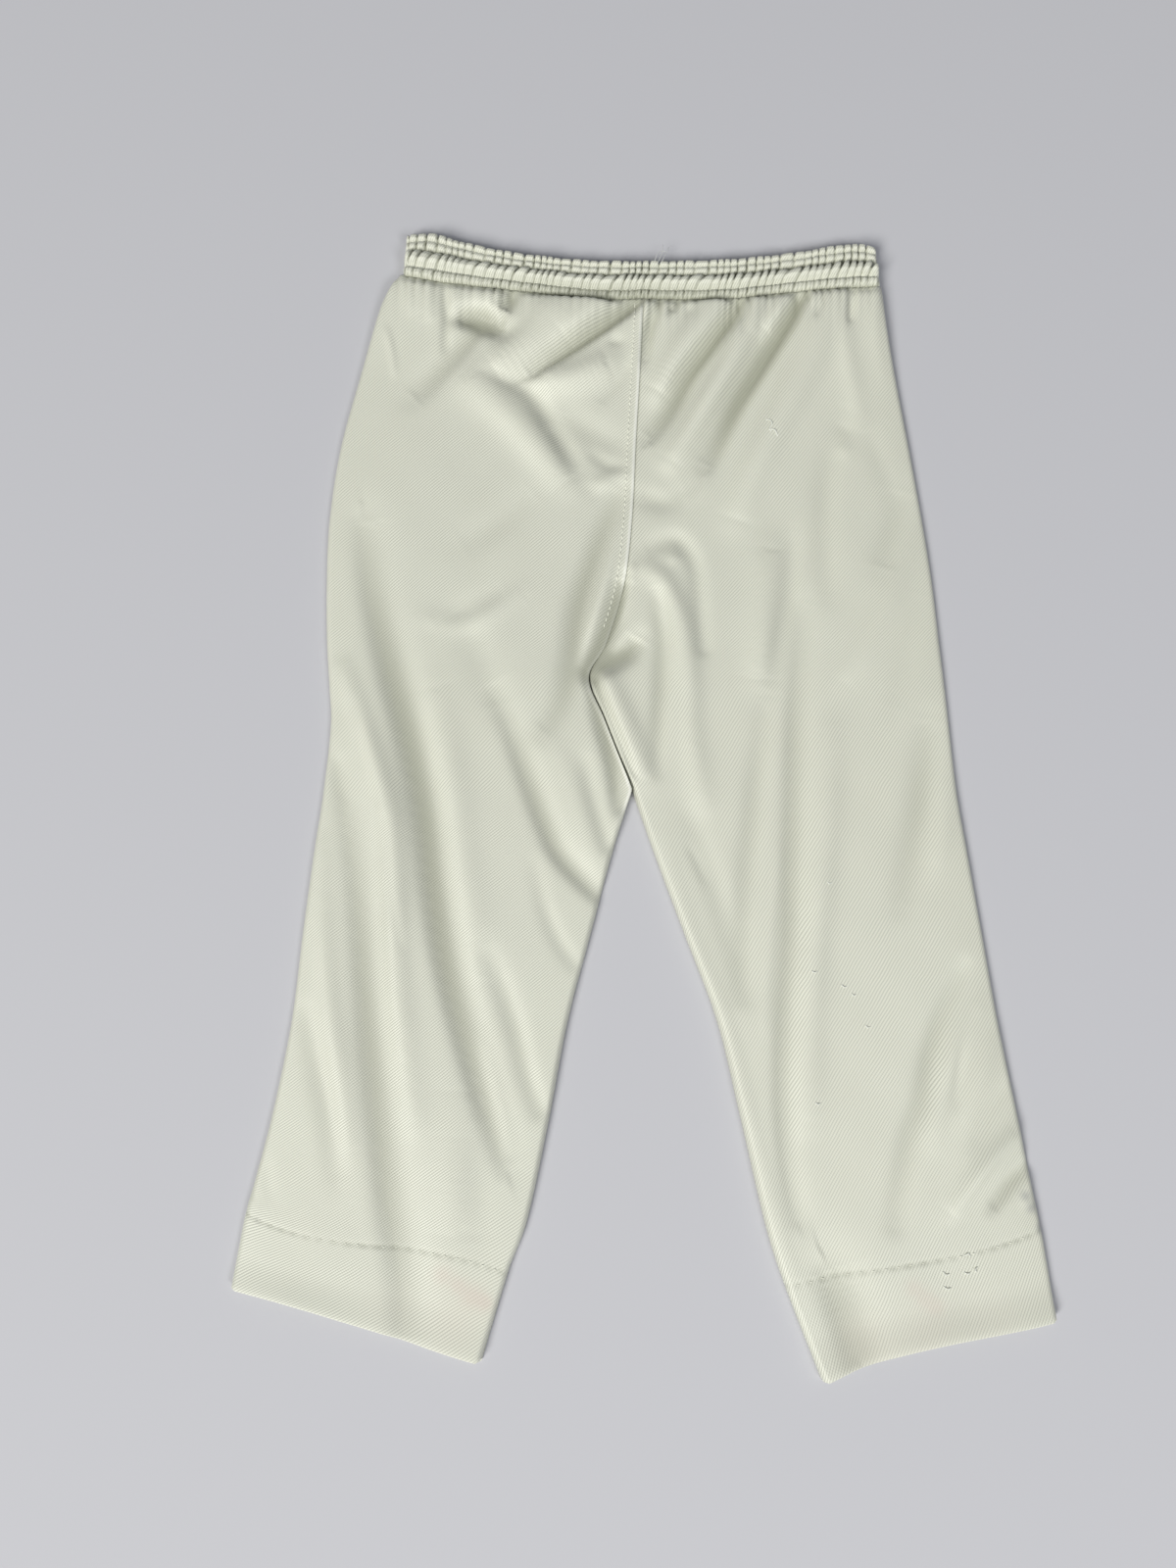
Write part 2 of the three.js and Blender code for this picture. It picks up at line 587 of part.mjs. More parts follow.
function cricketTrousers() {
  const garment = new THREE.Group();
  for (const [side, leg] of Object.entries(LEGS)) {
    garment.add(piece(`back_panel_${side}`, backPanel(leg), TWILL));
    garment.add(piece(`front_panel_${side}`, frontPanel(leg), TWILL));
    garment.add(piece(`waistband_back_${side}`, casingBack(side), CASING));
    garment.add(piece(`waistband_front_${side}`, casingFront(side), CASING));
  }
  const box = new THREE.Box3().setFromObject(garment);
  const centre = box.getCenter(new THREE.Vector3());
  garment.position.set(-centre.x, -centre.y, -box.min.z);
  return garment;
}

export default cricketTrousers();
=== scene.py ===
# %% [markdown]
# # A child's cricket trousers, laid flat
#
# The garment is cut from a cream diagonal-twill knit: two leg panels at the back, two at the front, and a
# waist casing gathered over elastic. It lies with the back upwards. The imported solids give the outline, the
# layers and the places of the seams. Here each of them is replaced by a finer shell of cloth on the same
# form, with its creases, gathers and stitching, and each gets a woven look.
#
# Every shell is worked out as whole numpy arrays: a point is a function of how far across the leg it lies
# (0 at the outer side, 1 at the inner side) and of how far down the leg.

# %% Load the frame
import math
import bpy
import numpy as np
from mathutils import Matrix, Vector


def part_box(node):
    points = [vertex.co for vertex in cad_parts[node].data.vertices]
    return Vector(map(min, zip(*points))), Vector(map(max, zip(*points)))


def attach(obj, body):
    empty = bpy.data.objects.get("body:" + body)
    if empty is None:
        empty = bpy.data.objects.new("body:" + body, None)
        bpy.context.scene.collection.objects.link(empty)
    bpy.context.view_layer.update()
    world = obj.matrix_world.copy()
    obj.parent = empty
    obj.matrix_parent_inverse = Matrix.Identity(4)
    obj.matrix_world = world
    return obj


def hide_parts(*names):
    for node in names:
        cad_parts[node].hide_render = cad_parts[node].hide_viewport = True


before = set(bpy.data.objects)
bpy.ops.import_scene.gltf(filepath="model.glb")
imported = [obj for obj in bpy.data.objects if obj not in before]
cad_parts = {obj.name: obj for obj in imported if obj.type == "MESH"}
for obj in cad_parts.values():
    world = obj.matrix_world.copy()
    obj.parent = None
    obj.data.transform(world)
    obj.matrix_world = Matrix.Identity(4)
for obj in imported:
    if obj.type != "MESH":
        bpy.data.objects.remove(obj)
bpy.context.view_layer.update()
MM = 0.001

# %% [markdown]
# ## Where the tables' zero lies
#
# The tables below measure the cloth in millimetres from the top of the centre back seam, as a cutter would.
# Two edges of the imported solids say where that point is: the two halves of the casing meet at the centre
# seam, and the right leg's hem ends a known distance below the waist.

# %% Anchor the garment's own zero
LOWEST_HEM = -568.5
left_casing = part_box("waistband_back_left")
right_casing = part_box("waistband_back_right")
right_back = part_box("back_panel_right")
SEAM_X = (left_casing[1].x + right_casing[0].x) / 2 / MM
WAIST_Y = right_back[0].y / MM - LOWEST_HEM
print("centre seam at x =", round(SEAM_X, 2), "mm, waist seam at y =", round(WAIST_Y, 2), "mm")

# %% [markdown]
# ## The cut of each leg
#
# A panel could be a drawn outline filled with faces, but then no point would know where on the leg it lies.
# So it is cut as rows across the leg. Each row of a table is a line: its outer end, its inner end, and two
# bows that lift the line at one and at two thirds of its length. The inner end follows the centre seam to
# the crotch and the inside leg below it. A smooth cubic runs through the rows, with one sharp corner where
# the legs part.

# %% Section tables, in millimetres
SECTION_NAMES = ["waist", "below_waist", "upper_seat", "seat", "lower_seat", "rise", "rise_end", "crotch",
                 "side_kink", "strip_end", "upper_leg", "thigh", "knee", "calf", "shin", "hem_stitch", "hem"]
LEGS_PART = SECTION_NAMES.index("strip_end")
HEM_STITCH = SECTION_NAMES.index("hem_stitch")
LAST = len(SECTION_NAMES) - 1

# columns: outer x, outer y, inner x, inner y, bow at one third, bow at two thirds
LEFT_SECTIONS = np.array([
    [-134.5, 12.5, 0.0, -0.6, 0, 0],
    [-143.5, -3.0, -0.8, -14.0, -1, -1],
    [-154.0, -41.0, -2.2, -42.0, 0, 0],
    [-164.5, -83.0, -4.5, -82.0, 0, 0],
    [-169.8, -123.0, -6.6, -122.0, 0, 0],
    [-170.7, -158.0, -10.8, -158.0, 0, 0],
    [-169.9, -190.0, -20.3, -190.0, 0, 0],
    [-168.2, -214.0, -29.9, -209.0, 0, 0],
    [-167.1, -235.0, -21.5, -232.0, 0, 0],
    [-170.4, -271.0, -7.2, -269.0, 0, 0],
    [-174.6, -302.0, -17.8, -303.0, 0, 0],
    [-179.6, -344.0, -28.8, -344.0, 0, 0],
    [-184.4, -389.0, -41.0, -390.0, 0, 0],
    [-193.0, -435.0, -51.0, -442.0, 0, 0],
    [-202.0, -472.0, -61.5, -490.0, -2, 1],
    [-205.6, -485.5, -71.0, -515.5, -3.5, 1.5],
    [-212.0, -522.5, -84.5, -559.5, 1.8, 0.8],
])
RIGHT_SECTIONS = np.array([
    [130.5, 6.0, 0.0, -0.6, 0, 0],
    [132.4, -12.0, -0.8, -14.0, -1, -1],
    [136.7, -41.0, -2.2, -42.0, 0, 0],
    [143.6, -83.0, -4.5, -82.0, 0, 0],
    [149.6, -122.0, -6.6, -122.0, 0, 0],
    [154.3, -158.0, -10.8, -158.0, 0, 0],
    [157.2, -190.0, -20.3, -190.0, 0, 0],
    [159.5, -214.0, -29.9, -209.0, 0, 0],
    [161.3, -235.0, -21.5, -232.0, 0, 0],
    [164.4, -270.0, -7.2, -269.0, 0, 0],
    [169.2, -302.0, 4.6, -303.0, 0, 0],
    [175.6, -344.0, 19.8, -344.0, 0, 0],
    [182.4, -389.0, 36.8, -390.0, 0, 0],
    [190.6, -434.0, 48.6, -440.0, 0, 0],
    [197.6, -474.0, 60.4, -492.0, -1, 0],
    [201.2, -493.5, 69.8, -522.0, -3.6, -1.2],
    [207.5, -538.0, 87.8, -568.5, 2.7, 4.4],
])
OUTER_X, OUTER_Y, INNER_X, INNER_Y, BOW_A, BOW_B = range(6)

# columns: x, y of the seam under the casing, y of the casing's top edge
WAIST = np.array([
    [-134.5, 12.5, 34.5], [-117.0, 9.0, 36.0], [-100.0, 6.8, 31.5], [-73.0, 3.9, 25.3], [-46.0, 1.1, 22.0],
    [-22.0, -0.9, 20.4], [0.0, -0.6, 20.0], [24.0, -1.2, 20.6], [50.0, -0.8, 21.4], [70.0, 1.2, 23.4],
    [90.0, 3.3, 26.4], [110.0, 4.6, 29.6], [122.0, 5.2, 29.3], [130.5, 6.0, 26.5],
])
WAIST_X, SEAM_Y, TOP_Y = range(3)
print("sections a leg:", LAST + 1, " stations along the waist:", len(WAIST))

# %% [markdown]
# ## Curves and the plan of a leg
#
# A cubic that leaves each value with half the difference of its two neighbours has no corners. Reading it at
# fractional row numbers turns a table into a smooth curve. The same curve read against x gives the waist.

# %% Curves through a table
def between(here, rise, leaving, arriving, t):
    """here + t (s0 + t (3 r - 2 s0 - s1 + t (s0 + s1 - 2 r))): a cubic that climbs by r, leaves its first
    value with the slope s0 and arrives with the slope s1."""
    bend, twist = 3 * rise - 2 * leaving - arriving, leaving + arriving - 2 * rise
    return here + t * (leaving + t * (bend + t * twist))


def cubic(before, here, there, after, t):
    """The cubic whose slope at each value is half the difference of that value's two neighbours."""
    return between(here, there - here, (there - before) / 2, (after - here) / 2, t)


def along(sections, column, at):
    """The column's value at fractional row numbers. The inner edge doesn't look past its corner."""
    at = np.asarray(at, float)
    i = np.clip(np.floor(at).astype(int), 0, LAST - 1)
    corner = LEGS_PART if column in (INNER_X, INNER_Y) else LAST
    low = np.where(i >= corner, corner, 0)
    high = np.where(i < corner, corner, LAST)
    value = [sections[np.clip(i + k, low, high), column] for k in (-1, 0, 1, 2)]
    return cubic(*value, at - i)


def waist_at(column, x):
    """Height of the waist's seam or top edge at x, by the same cubic on stations that are unevenly spaced."""
    xs, ys = WAIST[:, WAIST_X], WAIST[:, column]
    x = np.asarray(x, float)
    i = np.clip(np.searchsorted(xs, x) - 1, 0, len(xs) - 2)
    a, b = np.maximum(i - 1, 0), np.minimum(i + 2, len(xs) - 1)
    span = xs[i + 1] - xs[i]
    t = (x - xs[i]) / span
    leaving = span * (ys[i + 1] - ys[a]) / (xs[i + 1] - xs[a])
    arriving = span * (ys[b] - ys[i]) / (xs[b] - xs[i])
    return between(ys[i], ys[i + 1] - ys[i], leaving, arriving, t)


print("casing's height at the centre seam, mm:", round(float(waist_at(TOP_Y, 0) - waist_at(SEAM_Y, 0)), 1))

# %% The plan of a leg
BOW_GAIN = 13.5


def smooth(t):
    """3 t^2 - 2 t^3 between 0 and 1, level outside them."""
    t = np.clip(t, 0, 1)
    return t * t * (3 - 2 * t)


def plan(sections, across, at):
    """Plan point at a share across and a row number: a straight row between its ends, plus its two bows,
    each a cubic that is 1 at its own third and 0 at the other, plus the dip of the waist seam at the top."""

    def row(outer, inner, at):
        """A value of the straight row, from the two ends' columns."""
        return along(sections, outer, at) * (1 - across) + along(sections, inner, at) * across

    bow_a = BOW_GAIN * across * (across - 2 / 3) * (across - 1)
    bow_b = -BOW_GAIN * across * (across - 1 / 3) * (across - 1)
    dip = waist_at(SEAM_Y, row(OUTER_X, INNER_X, 0)) - row(OUTER_Y, INNER_Y, 0)
    y = row(OUTER_Y, INNER_Y, at) + bow_a * along(sections, BOW_A, at) + bow_b * along(sections, BOW_B, at)
    return row(OUTER_X, INNER_X, at), y + dip * smooth(1 - at)


for name, sections in (("left", LEFT_SECTIONS), ("right", RIGHT_SECTIONS)):
    x, y = plan(sections, np.array([0.0, 1.0]), LAST)
    print(name, "hem is", round(float(np.hypot(x[1] - x[0], y[1] - y[0])), 1), "mm wide")

# %% [markdown]
# ## The creases
#
# Cloth laid on cloth keeps soft troughs and ridges: from the gathered waist they run down and in towards the
# seat, and on the legs they follow the way that each leg was pulled straight. A cloth simulation would make
# such creases, but not these ones. So each is given as a path through a few points. A positive height is a
# ridge. Its cross-section is a bell curve, with one side steeper than the other where the cloth has tipped
# over, and its strength falls away at both ends.

# %% Creases of the left half, in millimetres
# columns: half width at the start, at the end, height, lean, strength at the start, at the end, path
LEFT_CREASES = [
    # troughs and puffs under the casing
    (4.5, 5.0, -4.5, 0.0, 1.0, 0.3, [(-71, 6), (-72, -1), (-76, -9)]),
    (4.5, 6.0, -6.5, 0.0, 0.3, 0.4, [(-101, -13), (-89, -13), (-77, -20)]),
    (5.0, 7.0, -3.0, -0.1, 1.0, 0.2, [(-90, -19), (-98, -28), (-110, -42), (-124, -57)]),
    (2.2, 2.5, -1.6, 0.0, 0.6, 0.3, [(-108, 4), (-107, -12), (-108, -30)]),
    (1.8, 1.8, 0.8, 0.0, 0.3, 0.3, [(-140, -18), (-137, -30), (-135, -44)]),
    (4.5, 4.5, 1.0, 0.0, 0.8, 0.2, [(-118, 9), (-117, -2), (-115, -16)]),
    (4.5, 4.5, 0.7, 0.0, 1.0, 0.2, [(-128, 10), (-127, 0), (-124, -12)]),
    (5.5, 5.5, 0.5, 0.0, 0.5, 0.3, [(-97, 1), (-89, -1), (-82, -2), (-77, -12)]),
    (3.0, 3.0, 0.6, 0.0, 0.8, 0.3, [(-103, 3), (-101, -6)]),
    (10.0, 9.0, 3.8, 0.1, 0.6, 0.3, [(-36, -4), (-50, -12), (-62, -26), (-82, -40)]),
    (8.0, 7.0, 3.6, 0.0, 0.6, 0.3, [(-24, -1), (-32, -10), (-44, -22)]),
    (8.0, 8.0, 1.4, 0.0, 0.3, 0.3, [(-42, -9), (-50, -9), (-58, -7)]),
    # the deep trough beside the puff, and what lies round it
    (4.5, 4.5, -6.8, -0.35, 0.9, 0.25, [(1, 3), (-5, -5), (-14, -12), (-24, -19), (-37, -28), (-50, -37),
                                        (-62, -45)]),
    (8.0, 8.0, 3.4, 0.0, 0.4, 0.4, [(-56, -47), (-40, -46), (-20, -38)]),
    (3.1, 3.1, -0.8, 0.0, 0.3, 0.3, [(-19, -27), (-15, -26), (-12, -26)]),
    (3.5, 3.5, -0.9, 0.0, 0.3, 0.2, [(-9, -38), (-15, -48), (-24, -60)]),
    # the long trough towards the seam, and the broad ridge beside it
    (5.0, 5.5, -2.0, 0.0, 0.3, 0.2, [(-86, -43), (-64, -52), (-51, -70), (-38, -92), (-27, -108)]),
    (11.0, 9.0, 3.2, 0.0, 0.3, 0.3, [(-98, -44), (-74, -64), (-57, -84), (-42, -104)]),
    (8.0, 8.0, -1.5, 0.0, 0.3, 0.5, [(-45, -66), (-30, -76), (-14, -84)]),
    (4.5, 4.5, 0.5, 0.0, 0.3, 0.3, [(-52, -70), (-46, -74)]),
    (4.0, 4.0, -1.1, 0.0, 0.3, 0.6, [(-30, -86), (-21, -93), (-12, -95)]),
    (5.0, 4.5, 1.1, 0.0, 0.3, 0.3, [(-37, -92), (-29, -103), (-20, -103), (-9, -95)]),
    # down the rise
    (6.0, 7.0, -4.2, 0.0, 0.3, 0.2, [(-13, -108), (-19, -122), (-27.5, -145), (-35, -170), (-39, -200),
                                     (-44, -220), (-55, -238)]),
    (4.0, 4.0, 1.5, 0.0, 0.3, 0.3, [(-13, -126), (-18.5, -145), (-23.5, -165), (-30, -185), (-35, -203)]),
    (4.4, 5.4, -8.0, 0.0, 0.2, 0.9, [(-11, -156), (-14.5, -168), (-18, -180), (-22.5, -191), (-29, -205)]),
    (8.0, 8.0, -0.9, 0.0, 0.3, 0.3, [(-98, -138), (-78, -126), (-60, -110)]),
    (5.5, 5.5, -0.5, 0.0, 0.3, 0.3, [(-75, -162), (-95, -171), (-112, -182)]),
    (6.0, 6.0, 0.9, 0.0, 0.3, 0.3, [(-118, -178), (-92, -180), (-66, -162)]),
    (9.0, 9.0, -1.0, 0.0, 0.2, 0.3, [(-100, -172), (-88, -200), (-80, -225)]),
    # the long trough down the outer side of the leg
    (9.0, 8.0, -5.4, 0.35, 0.2, 0.2, [(-151, -125), (-147, -160), (-137.5, -200), (-126.5, -240),
                                      (-117, -280), (-111.5, -320), (-104.5, -360), (-93.5, -400),
                                      (-80.5, -440), (-73, -462)]),
    (6.0, 8.0, 2.6, 0.0, 0.3, 0.2, [(-160, -205), (-150, -232), (-141, -258), (-134, -285), (-131, -320),
                                    (-130, -360), (-126, -400), (-120, -440)]),
    (10.0, 10.0, 1.8, 0.0, 0.2, 0.2, [(-112, -215), (-106, -245), (-101, -280), (-95, -320), (-86, -370)]),
    (2.1, 2.1, -0.4, 0.0, 0.3, 0.3, [(-136, -283), (-132, -325), (-127, -352)]),
    (3.0, 3.0, -0.5, 0.0, 0.3, 0.3, [(-154, -222), (-149, -248), (-142, -276)]),
    (4.0, 4.0, -0.7, 0.0, 0.3, 0.3, [(-169, -243), (-164, -256), (-158, -278)]),
    # the second long trough, which runs on into the hem
    (7.0, 10.0, -3.8, 0.35, 0.1, 0.3, [(-164, -250), (-156, -290), (-150.5, -330), (-146.5, -370),
                                       (-142.5, -405), (-138, -440), (-132.5, -480), (-126, -514),
                                       (-123, -548)]),
    (6.0, 6.0, 1.5, 0.0, 0.3, 0.2, [(-170, -300), (-168, -345), (-163, -385), (-157, -420), (-152, -455)]),
    # across the thigh to the inside leg
    (7.0, 5.0, -3.4, 0.25, 0.0, 0.5, [(-82, -212), (-71, -238), (-62.5, -262), (-53.5, -286), (-46, -302),
                                       (-33, -317), (-22, -327)]),
    (5.5, 5.5, 0.6, 0.0, 0.3, 0.3, [(-48, -244), (-38, -268), (-29, -296), (-22, -308)]),
    (4.0, 4.0, -5.0, 0.0, 0.9, 0.4, [(-28, -211), (-23, -232), (-17, -254), (-14, -278)]),
    (4.5, 4.0, -1.2, 0.0, 0.2, 0.9, [(-33, -250), (-28, -272), (-20, -298)]),
    (4.0, 4.0, 0.7, 0.0, 0.3, 0.3, [(-12, -262), (-13, -280), (-19, -298)]),
    # knee, calf and shin
    (6.0, 5.0, -2.0, 0.0, 0.2, 0.6, [(-84, -350), (-75, -372), (-67.5, -395), (-62.5, -415), (-56, -433)]),
    (4.5, 4.0, -1.1, 0.0, 0.3, 0.7, [(-58, -308), (-53, -330), (-46, -347), (-38, -359)]),
    (4.0, 4.0, 0.8, 0.0, 0.3, 0.2, [(-86, -398), (-77, -428), (-70, -456)]),
    (5.5, 5.5, -1.4, 0.0, 0.5, 0.2, [(-177, -384), (-170, -410), (-163, -440), (-159, -470)]),
    (13.0, 13.0, 1.4, 0.0, 0.3, 0.3, [(-96, -425), (-98, -460), (-100, -495)]),
    (3.0, 3.0, -0.4, 0.0, 0.3, 0.3, [(-195, -460), (-193, -478)]),
    (8.0, 8.0, -0.9, 0.0, 0.3, 0.3, [(-84, -440), (-86, -470), (-86, -500)]),
]
print("creases on the left half:", len(LEFT_CREASES))

# %% Creases of the right half, in millimetres
# columns: half width at the start, at the end, height, lean, strength at the start, at the end, path
RIGHT_CREASES = [
    # short troughs and puckers under the casing
    (3.2, 3.2, -3.2, 0.0, 0.9, 0.2, [(10, 1), (5, -12), (2, -24), (0, -38)]),
    (2.5, 2.5, 0.6, 0.0, 0.6, 0.3, [(2.5, -1), (2.5, -12)]),
    (2.4, 2.4, -3.0, 0.0, 1.0, 0.3, [(20, 1), (17, -5), (14, -10)]),
    (3.5, 3.5, -0.5, 0.0, 0.3, 0.3, [(22, -9), (27, -11)]),
    (2.2, 2.2, -1.9, 0.0, 0.8, 0.2, [(58, 1), (55, -12), (53, -24)]),
    (3.5, 3.5, 1.0, 0.0, 0.6, 0.2, [(63, -1), (60, -14), (57, -24)]),
    (4.5, 4.5, 3.0, 0.0, 0.5, 0.3, [(79, 0), (73, -9), (66, -21)]),
    (2.4, 2.4, -1.7, 0.0, 0.8, 0.2, [(98, 2), (95, -6), (92, -14)]),
    (3.5, 3.5, 0.7, 0.0, 0.6, 0.3, [(93, 2), (91, -8)]),
    (2.2, 2.2, -2.0, 0.0, 1.0, 0.2, [(113, 5), (112, -6), (111, -16)]),
    (4.5, 5.5, 0.8, 0.0, 0.7, 0.2, [(105, 4), (107, -16), (112, -46), (118, -76)]),
    (4.5, 4.5, 0.5, 0.0, 0.7, 0.2, [(124, 2), (126, -22), (131, -52)]),
    # two deep troughs from the casing, and the ridges between them
    (7.5, 8.0, 5.0, 0.0, 0.6, 0.3, [(42, 0), (34, -14), (22, -30), (8, -54)]),
    (4.8, 5.0, -6.6, -0.35, 0.8, 0.25, [(54, 2), (49, -12), (38, -26), (25.5, -43), (15.5, -62), (4, -79)]),
    (5.5, 7.0, 4.8, 0.0, 0.5, 0.3, [(60, -1), (55, -18), (45, -40), (31, -64), (14, -92)]),
    (3.8, 6.0, -6.8, -0.35, 0.9, 0.2, [(88, 2), (81, -12), (71, -28), (62, -42), (52, -58), (43.5, -75),
                                      (35, -94)]),
    (11.0, 9.0, 4.2, 0.0, 0.6, 0.2, [(101, 0), (94, -20), (85, -42), (71, -70), (58, -98), (49, -124)]),
    # small ones on the seat
    (6.5, 6.5, -1.3, 0.0, 0.2, 0.3, [(110, -60), (99, -90), (96, -125), (97, -165)]),
    (4.5, 4.5, 0.5, 0.0, 0.3, 0.3, [(104, -82), (110, -89)]),
    (3.5, 3.5, -0.4, 0.0, 0.3, 0.3, [(104, -72), (112, -76)]),
    (5.5, 5.5, -0.5, 0.0, 0.3, 0.3, [(120, -74), (127, -92), (133, -112)]),
    (8.0, 8.0, -1.8, 0.0, 0.3, 0.3, [(138, -108), (133, -128), (126, -150)]),
    (7.0, 7.0, 1.0, 0.0, 0.3, 0.3, [(140, -135), (130, -165), (116, -195), (104, -212)]),
    (7.0, 7.0, -0.8, 0.0, 0.3, 0.3, [(148, -165), (138, -200), (130, -225)]),
    # beside the centre seam
    (4.5, 4.0, 0.3, 0.0, 0.3, 0.3, [(3, -104), (18, -113), (32, -107), (26, -95)]),
    (6.0, 6.0, -1.3, 0.0, 0.5, 0.3, [(-2, -112), (10, -114), (22, -110)]),
    (5.5, 4.0, -1.7, 0.0, 0.3, 0.5, [(0, -141), (8, -137), (18, -136), (26, -148), (29, -170), (31, -194)]),
    (3.5, 3.5, 0.5, 0.0, 0.3, 0.3, [(12, -144), (18, -146)]),
    (6.0, 7.0, 2.2, 0.0, 0.5, 0.3, [(3, -152), (11, -160), (19, -180), (23, -210), (24, -240), (30, -276)]),
    (4.5, 4.0, -2.8, 0.0, 0.1, 0.3, [(6, -160), (9, -185), (8.5, -208), (7, -232), (6, -258)]),
    (5.0, 5.5, -5.5, 0.0, 0.2, 0.8, [(-4, -188), (-9, -195), (-15, -199), (-21, -201)]),
    (2.0, 1.8, 1.6, 0.0, 0.3, 0.9, [(-6, -150), (-10.5, -170), (-17.5, -187), (-28, -206)]),
    # the strip below the crotch
    (1.8, 1.8, 1.5, 0.0, 0.9, 0.3, [(-29, -210), (-20.5, -232), (-8, -264)]),
    (1.8, 1.8, -2.2, 0.0, 0.9, 0.3, [(-26, -211), (-17.5, -233), (-6, -262)]),
    (6.5, 6.5, 2.0, 0.0, 0.8, 0.3, [(-20, -212), (-9, -238), (0, -264)]),
    # long soft ribbons down the leg
    (5.0, 5.5, -1.6, 0.0, 0.2, 0.3, [(79, -132), (77, -165), (72, -190), (67, -216)]),
    (9.0, 9.0, 2.0, 0.0, 0.3, 0.3, [(66, -140), (63, -175), (60, -210)]),
    (6.0, 5.5, -2.2, 0.0, 0.3, 0.3, [(64, -222), (59, -255), (55, -290), (51, -330), (50, -376)]),
    (6.5, 5.5, -3.0, 0.2, 0.2, 0.3, [(84, -170), (81, -205), (78.5, -240), (76, -300), (75, -340),
                                     (71.5, -380), (69.5, -420), (71, -458), (76, -488)]),
    (8.0, 8.0, 1.8, 0.0, 0.3, 0.3, [(98, -240), (94, -290), (88, -340), (84, -390), (82, -440)]),
    (3.0, 3.0, 0.5, 0.0, 0.3, 0.3, [(70, -300), (64, -345), (60, -392)]),
    (7.0, 6.0, -1.2, 0.0, 0.3, 0.3, [(20, -276), (31, -306), (41, -338), (49, -372)]),
    (2.5, 2.5, -0.5, 0.0, 0.3, 0.3, [(22, -298), (27, -308), (31, -318)]),
    (4.0, 4.0, 0.5, 0.0, 0.3, 0.6, [(9, -292), (24, -344), (41, -389), (52, -434), (63.5, -480), (74, -516)]),
    (8.0, 8.0, -2.6, 0.0, 0.3, 0.3, [(150, -232), (146, -262), (141, -290), (133, -328)]),
    (6.0, 6.0, 0.9, 0.0, 0.3, 0.3, [(160, -262), (157, -285), (151, -310)]),
    # pulled creases at the outer side of the shin
    (5.0, 6.0, -3.0, 0.0, 0.3, 0.3, [(164, -362), (154, -382), (147, -402), (142, -425), (134, -448),
                                     (126, -490)]),
    (5.5, 5.5, 1.0, 0.0, 0.3, 0.3, [(174, -380), (164, -396), (152, -420), (146, -450)]),
    (3.0, 3.0, -0.7, 0.0, 0.3, 0.3, [(170, -384), (162, -402), (158, -432)]),
    (5.5, 5.5, 0.8, 0.0, 0.3, 0.3, [(180, -395), (172, -415), (160, -440)]),
    (4.0, 4.0, -1.1, 0.0, 0.5, 0.3, [(185, -422), (176, -434), (166, -452)]),
    (5.0, 5.0, 2.2, -0.3, 0.5, 0.2, [(190, -446), (178, -457), (166, -471), (155, -486)]),
    (3.2, 3.2, -3.4, 0.0, 0.7, 0.2, [(196, -461), (186, -470), (175, -483)]),
    (3.0, 3.0, 0.7, 0.0, 0.7, 0.3, [(196, -470), (192, -482)]),
    (11.0, 12.0, -3.2, 0.3, 0.5, 0.8, [(91, -514), (97, -532), (105, -556)]),
]
print("creases on the right half:", len(RIGHT_CREASES))

# %% Height of one crease
PATH_STEP, FEWEST_STEPS = 0.3, 8
REACH = 3.0
TAPER = 0.8


def curve_through(points, step):
    """A smooth curve through hand-placed points, as two arrays whose neighbours lie about one step apart."""
    points = np.array(points, float)
    length = np.hypot(*np.diff(points, axis=0).T).sum()
    last = len(points) - 1
    at = np.linspace(0, last, max(FEWEST_STEPS, int(length / step)))
    i = np.clip(np.floor(at).astype(int), 0, last - 1)
    value = [points[np.clip(i + k, 0, last)] for k in (-1, 0, 1, 2)]
    return cubic(*value, (at - i)[:, None]).T


def crease_height(x, y, crease):
    """height * strength * exp(-(d / w)^2). d is the distance to the path and w the half width, made wider on
    one side and narrower on the other by the lean. The strength is 1 halfway along and falls to its own
    value at each end like sin(pi s)^0.8, where s is the share along the path."""
    start_width, end_width, height, lean, start_strength, end_strength, points = crease
    px, py = curve_through(points, PATH_STEP * min(start_width, end_width))
    reach = REACH * max(start_width, end_width)
    near = (x > px.min() - reach) & (x < px.max() + reach) & (y > py.min() - reach) & (y < py.max() + reach)
    result = np.zeros_like(x)
    dx, dy = x[near][:, None] - px, y[near][:, None] - py
    squared = dx ** 2 + dy ** 2
    nearest = squared.argmin(1)
    pick = np.arange(len(nearest))
    along_x, along_y = np.gradient(px)[nearest], np.gradient(py)[nearest]
    side = np.sign(along_x * dy[pick, nearest] - along_y * dx[pick, nearest])
    share = nearest / (len(px) - 1)
    half = (start_width + (end_width - start_width) * share) * (1 + lean * side)
    end = np.where(share < 0.5, start_strength, end_strength)
    strength = end + (1 - end) * np.sin(np.pi * share).clip(0) ** TAPER
    result[near] = height * strength * np.exp(-squared[pick, nearest] / half ** 2)
    return result


longest = max(LEFT_CREASES + RIGHT_CREASES, key=lambda crease: len(crease[-1]))[-1]
print("the longest crease is", round(len(curve_through(longest, 1.0)[0])), "mm long")

# %% [markdown]
# ## Gathers
#
# The elastic draws the cloth in, so it stands in small flat-topped pleats with pinched slits between them.
# A texture could only paint them, and a simulation would place them by chance. One wave along the waist puts
# them where they belong: its pitch drifts as it goes along, and some pleats are stronger than others. It
# runs on into the panels as short puckers that die out a few millimetres below the casing. The waist is
# drawn together most near its middle, and lies fuller towards both ends.

# %% The gather wave
GATHER_PITCH = 4.8
DRAWN_IN_AT, DRAWN_IN_WIDTH = -10.0, 70.0
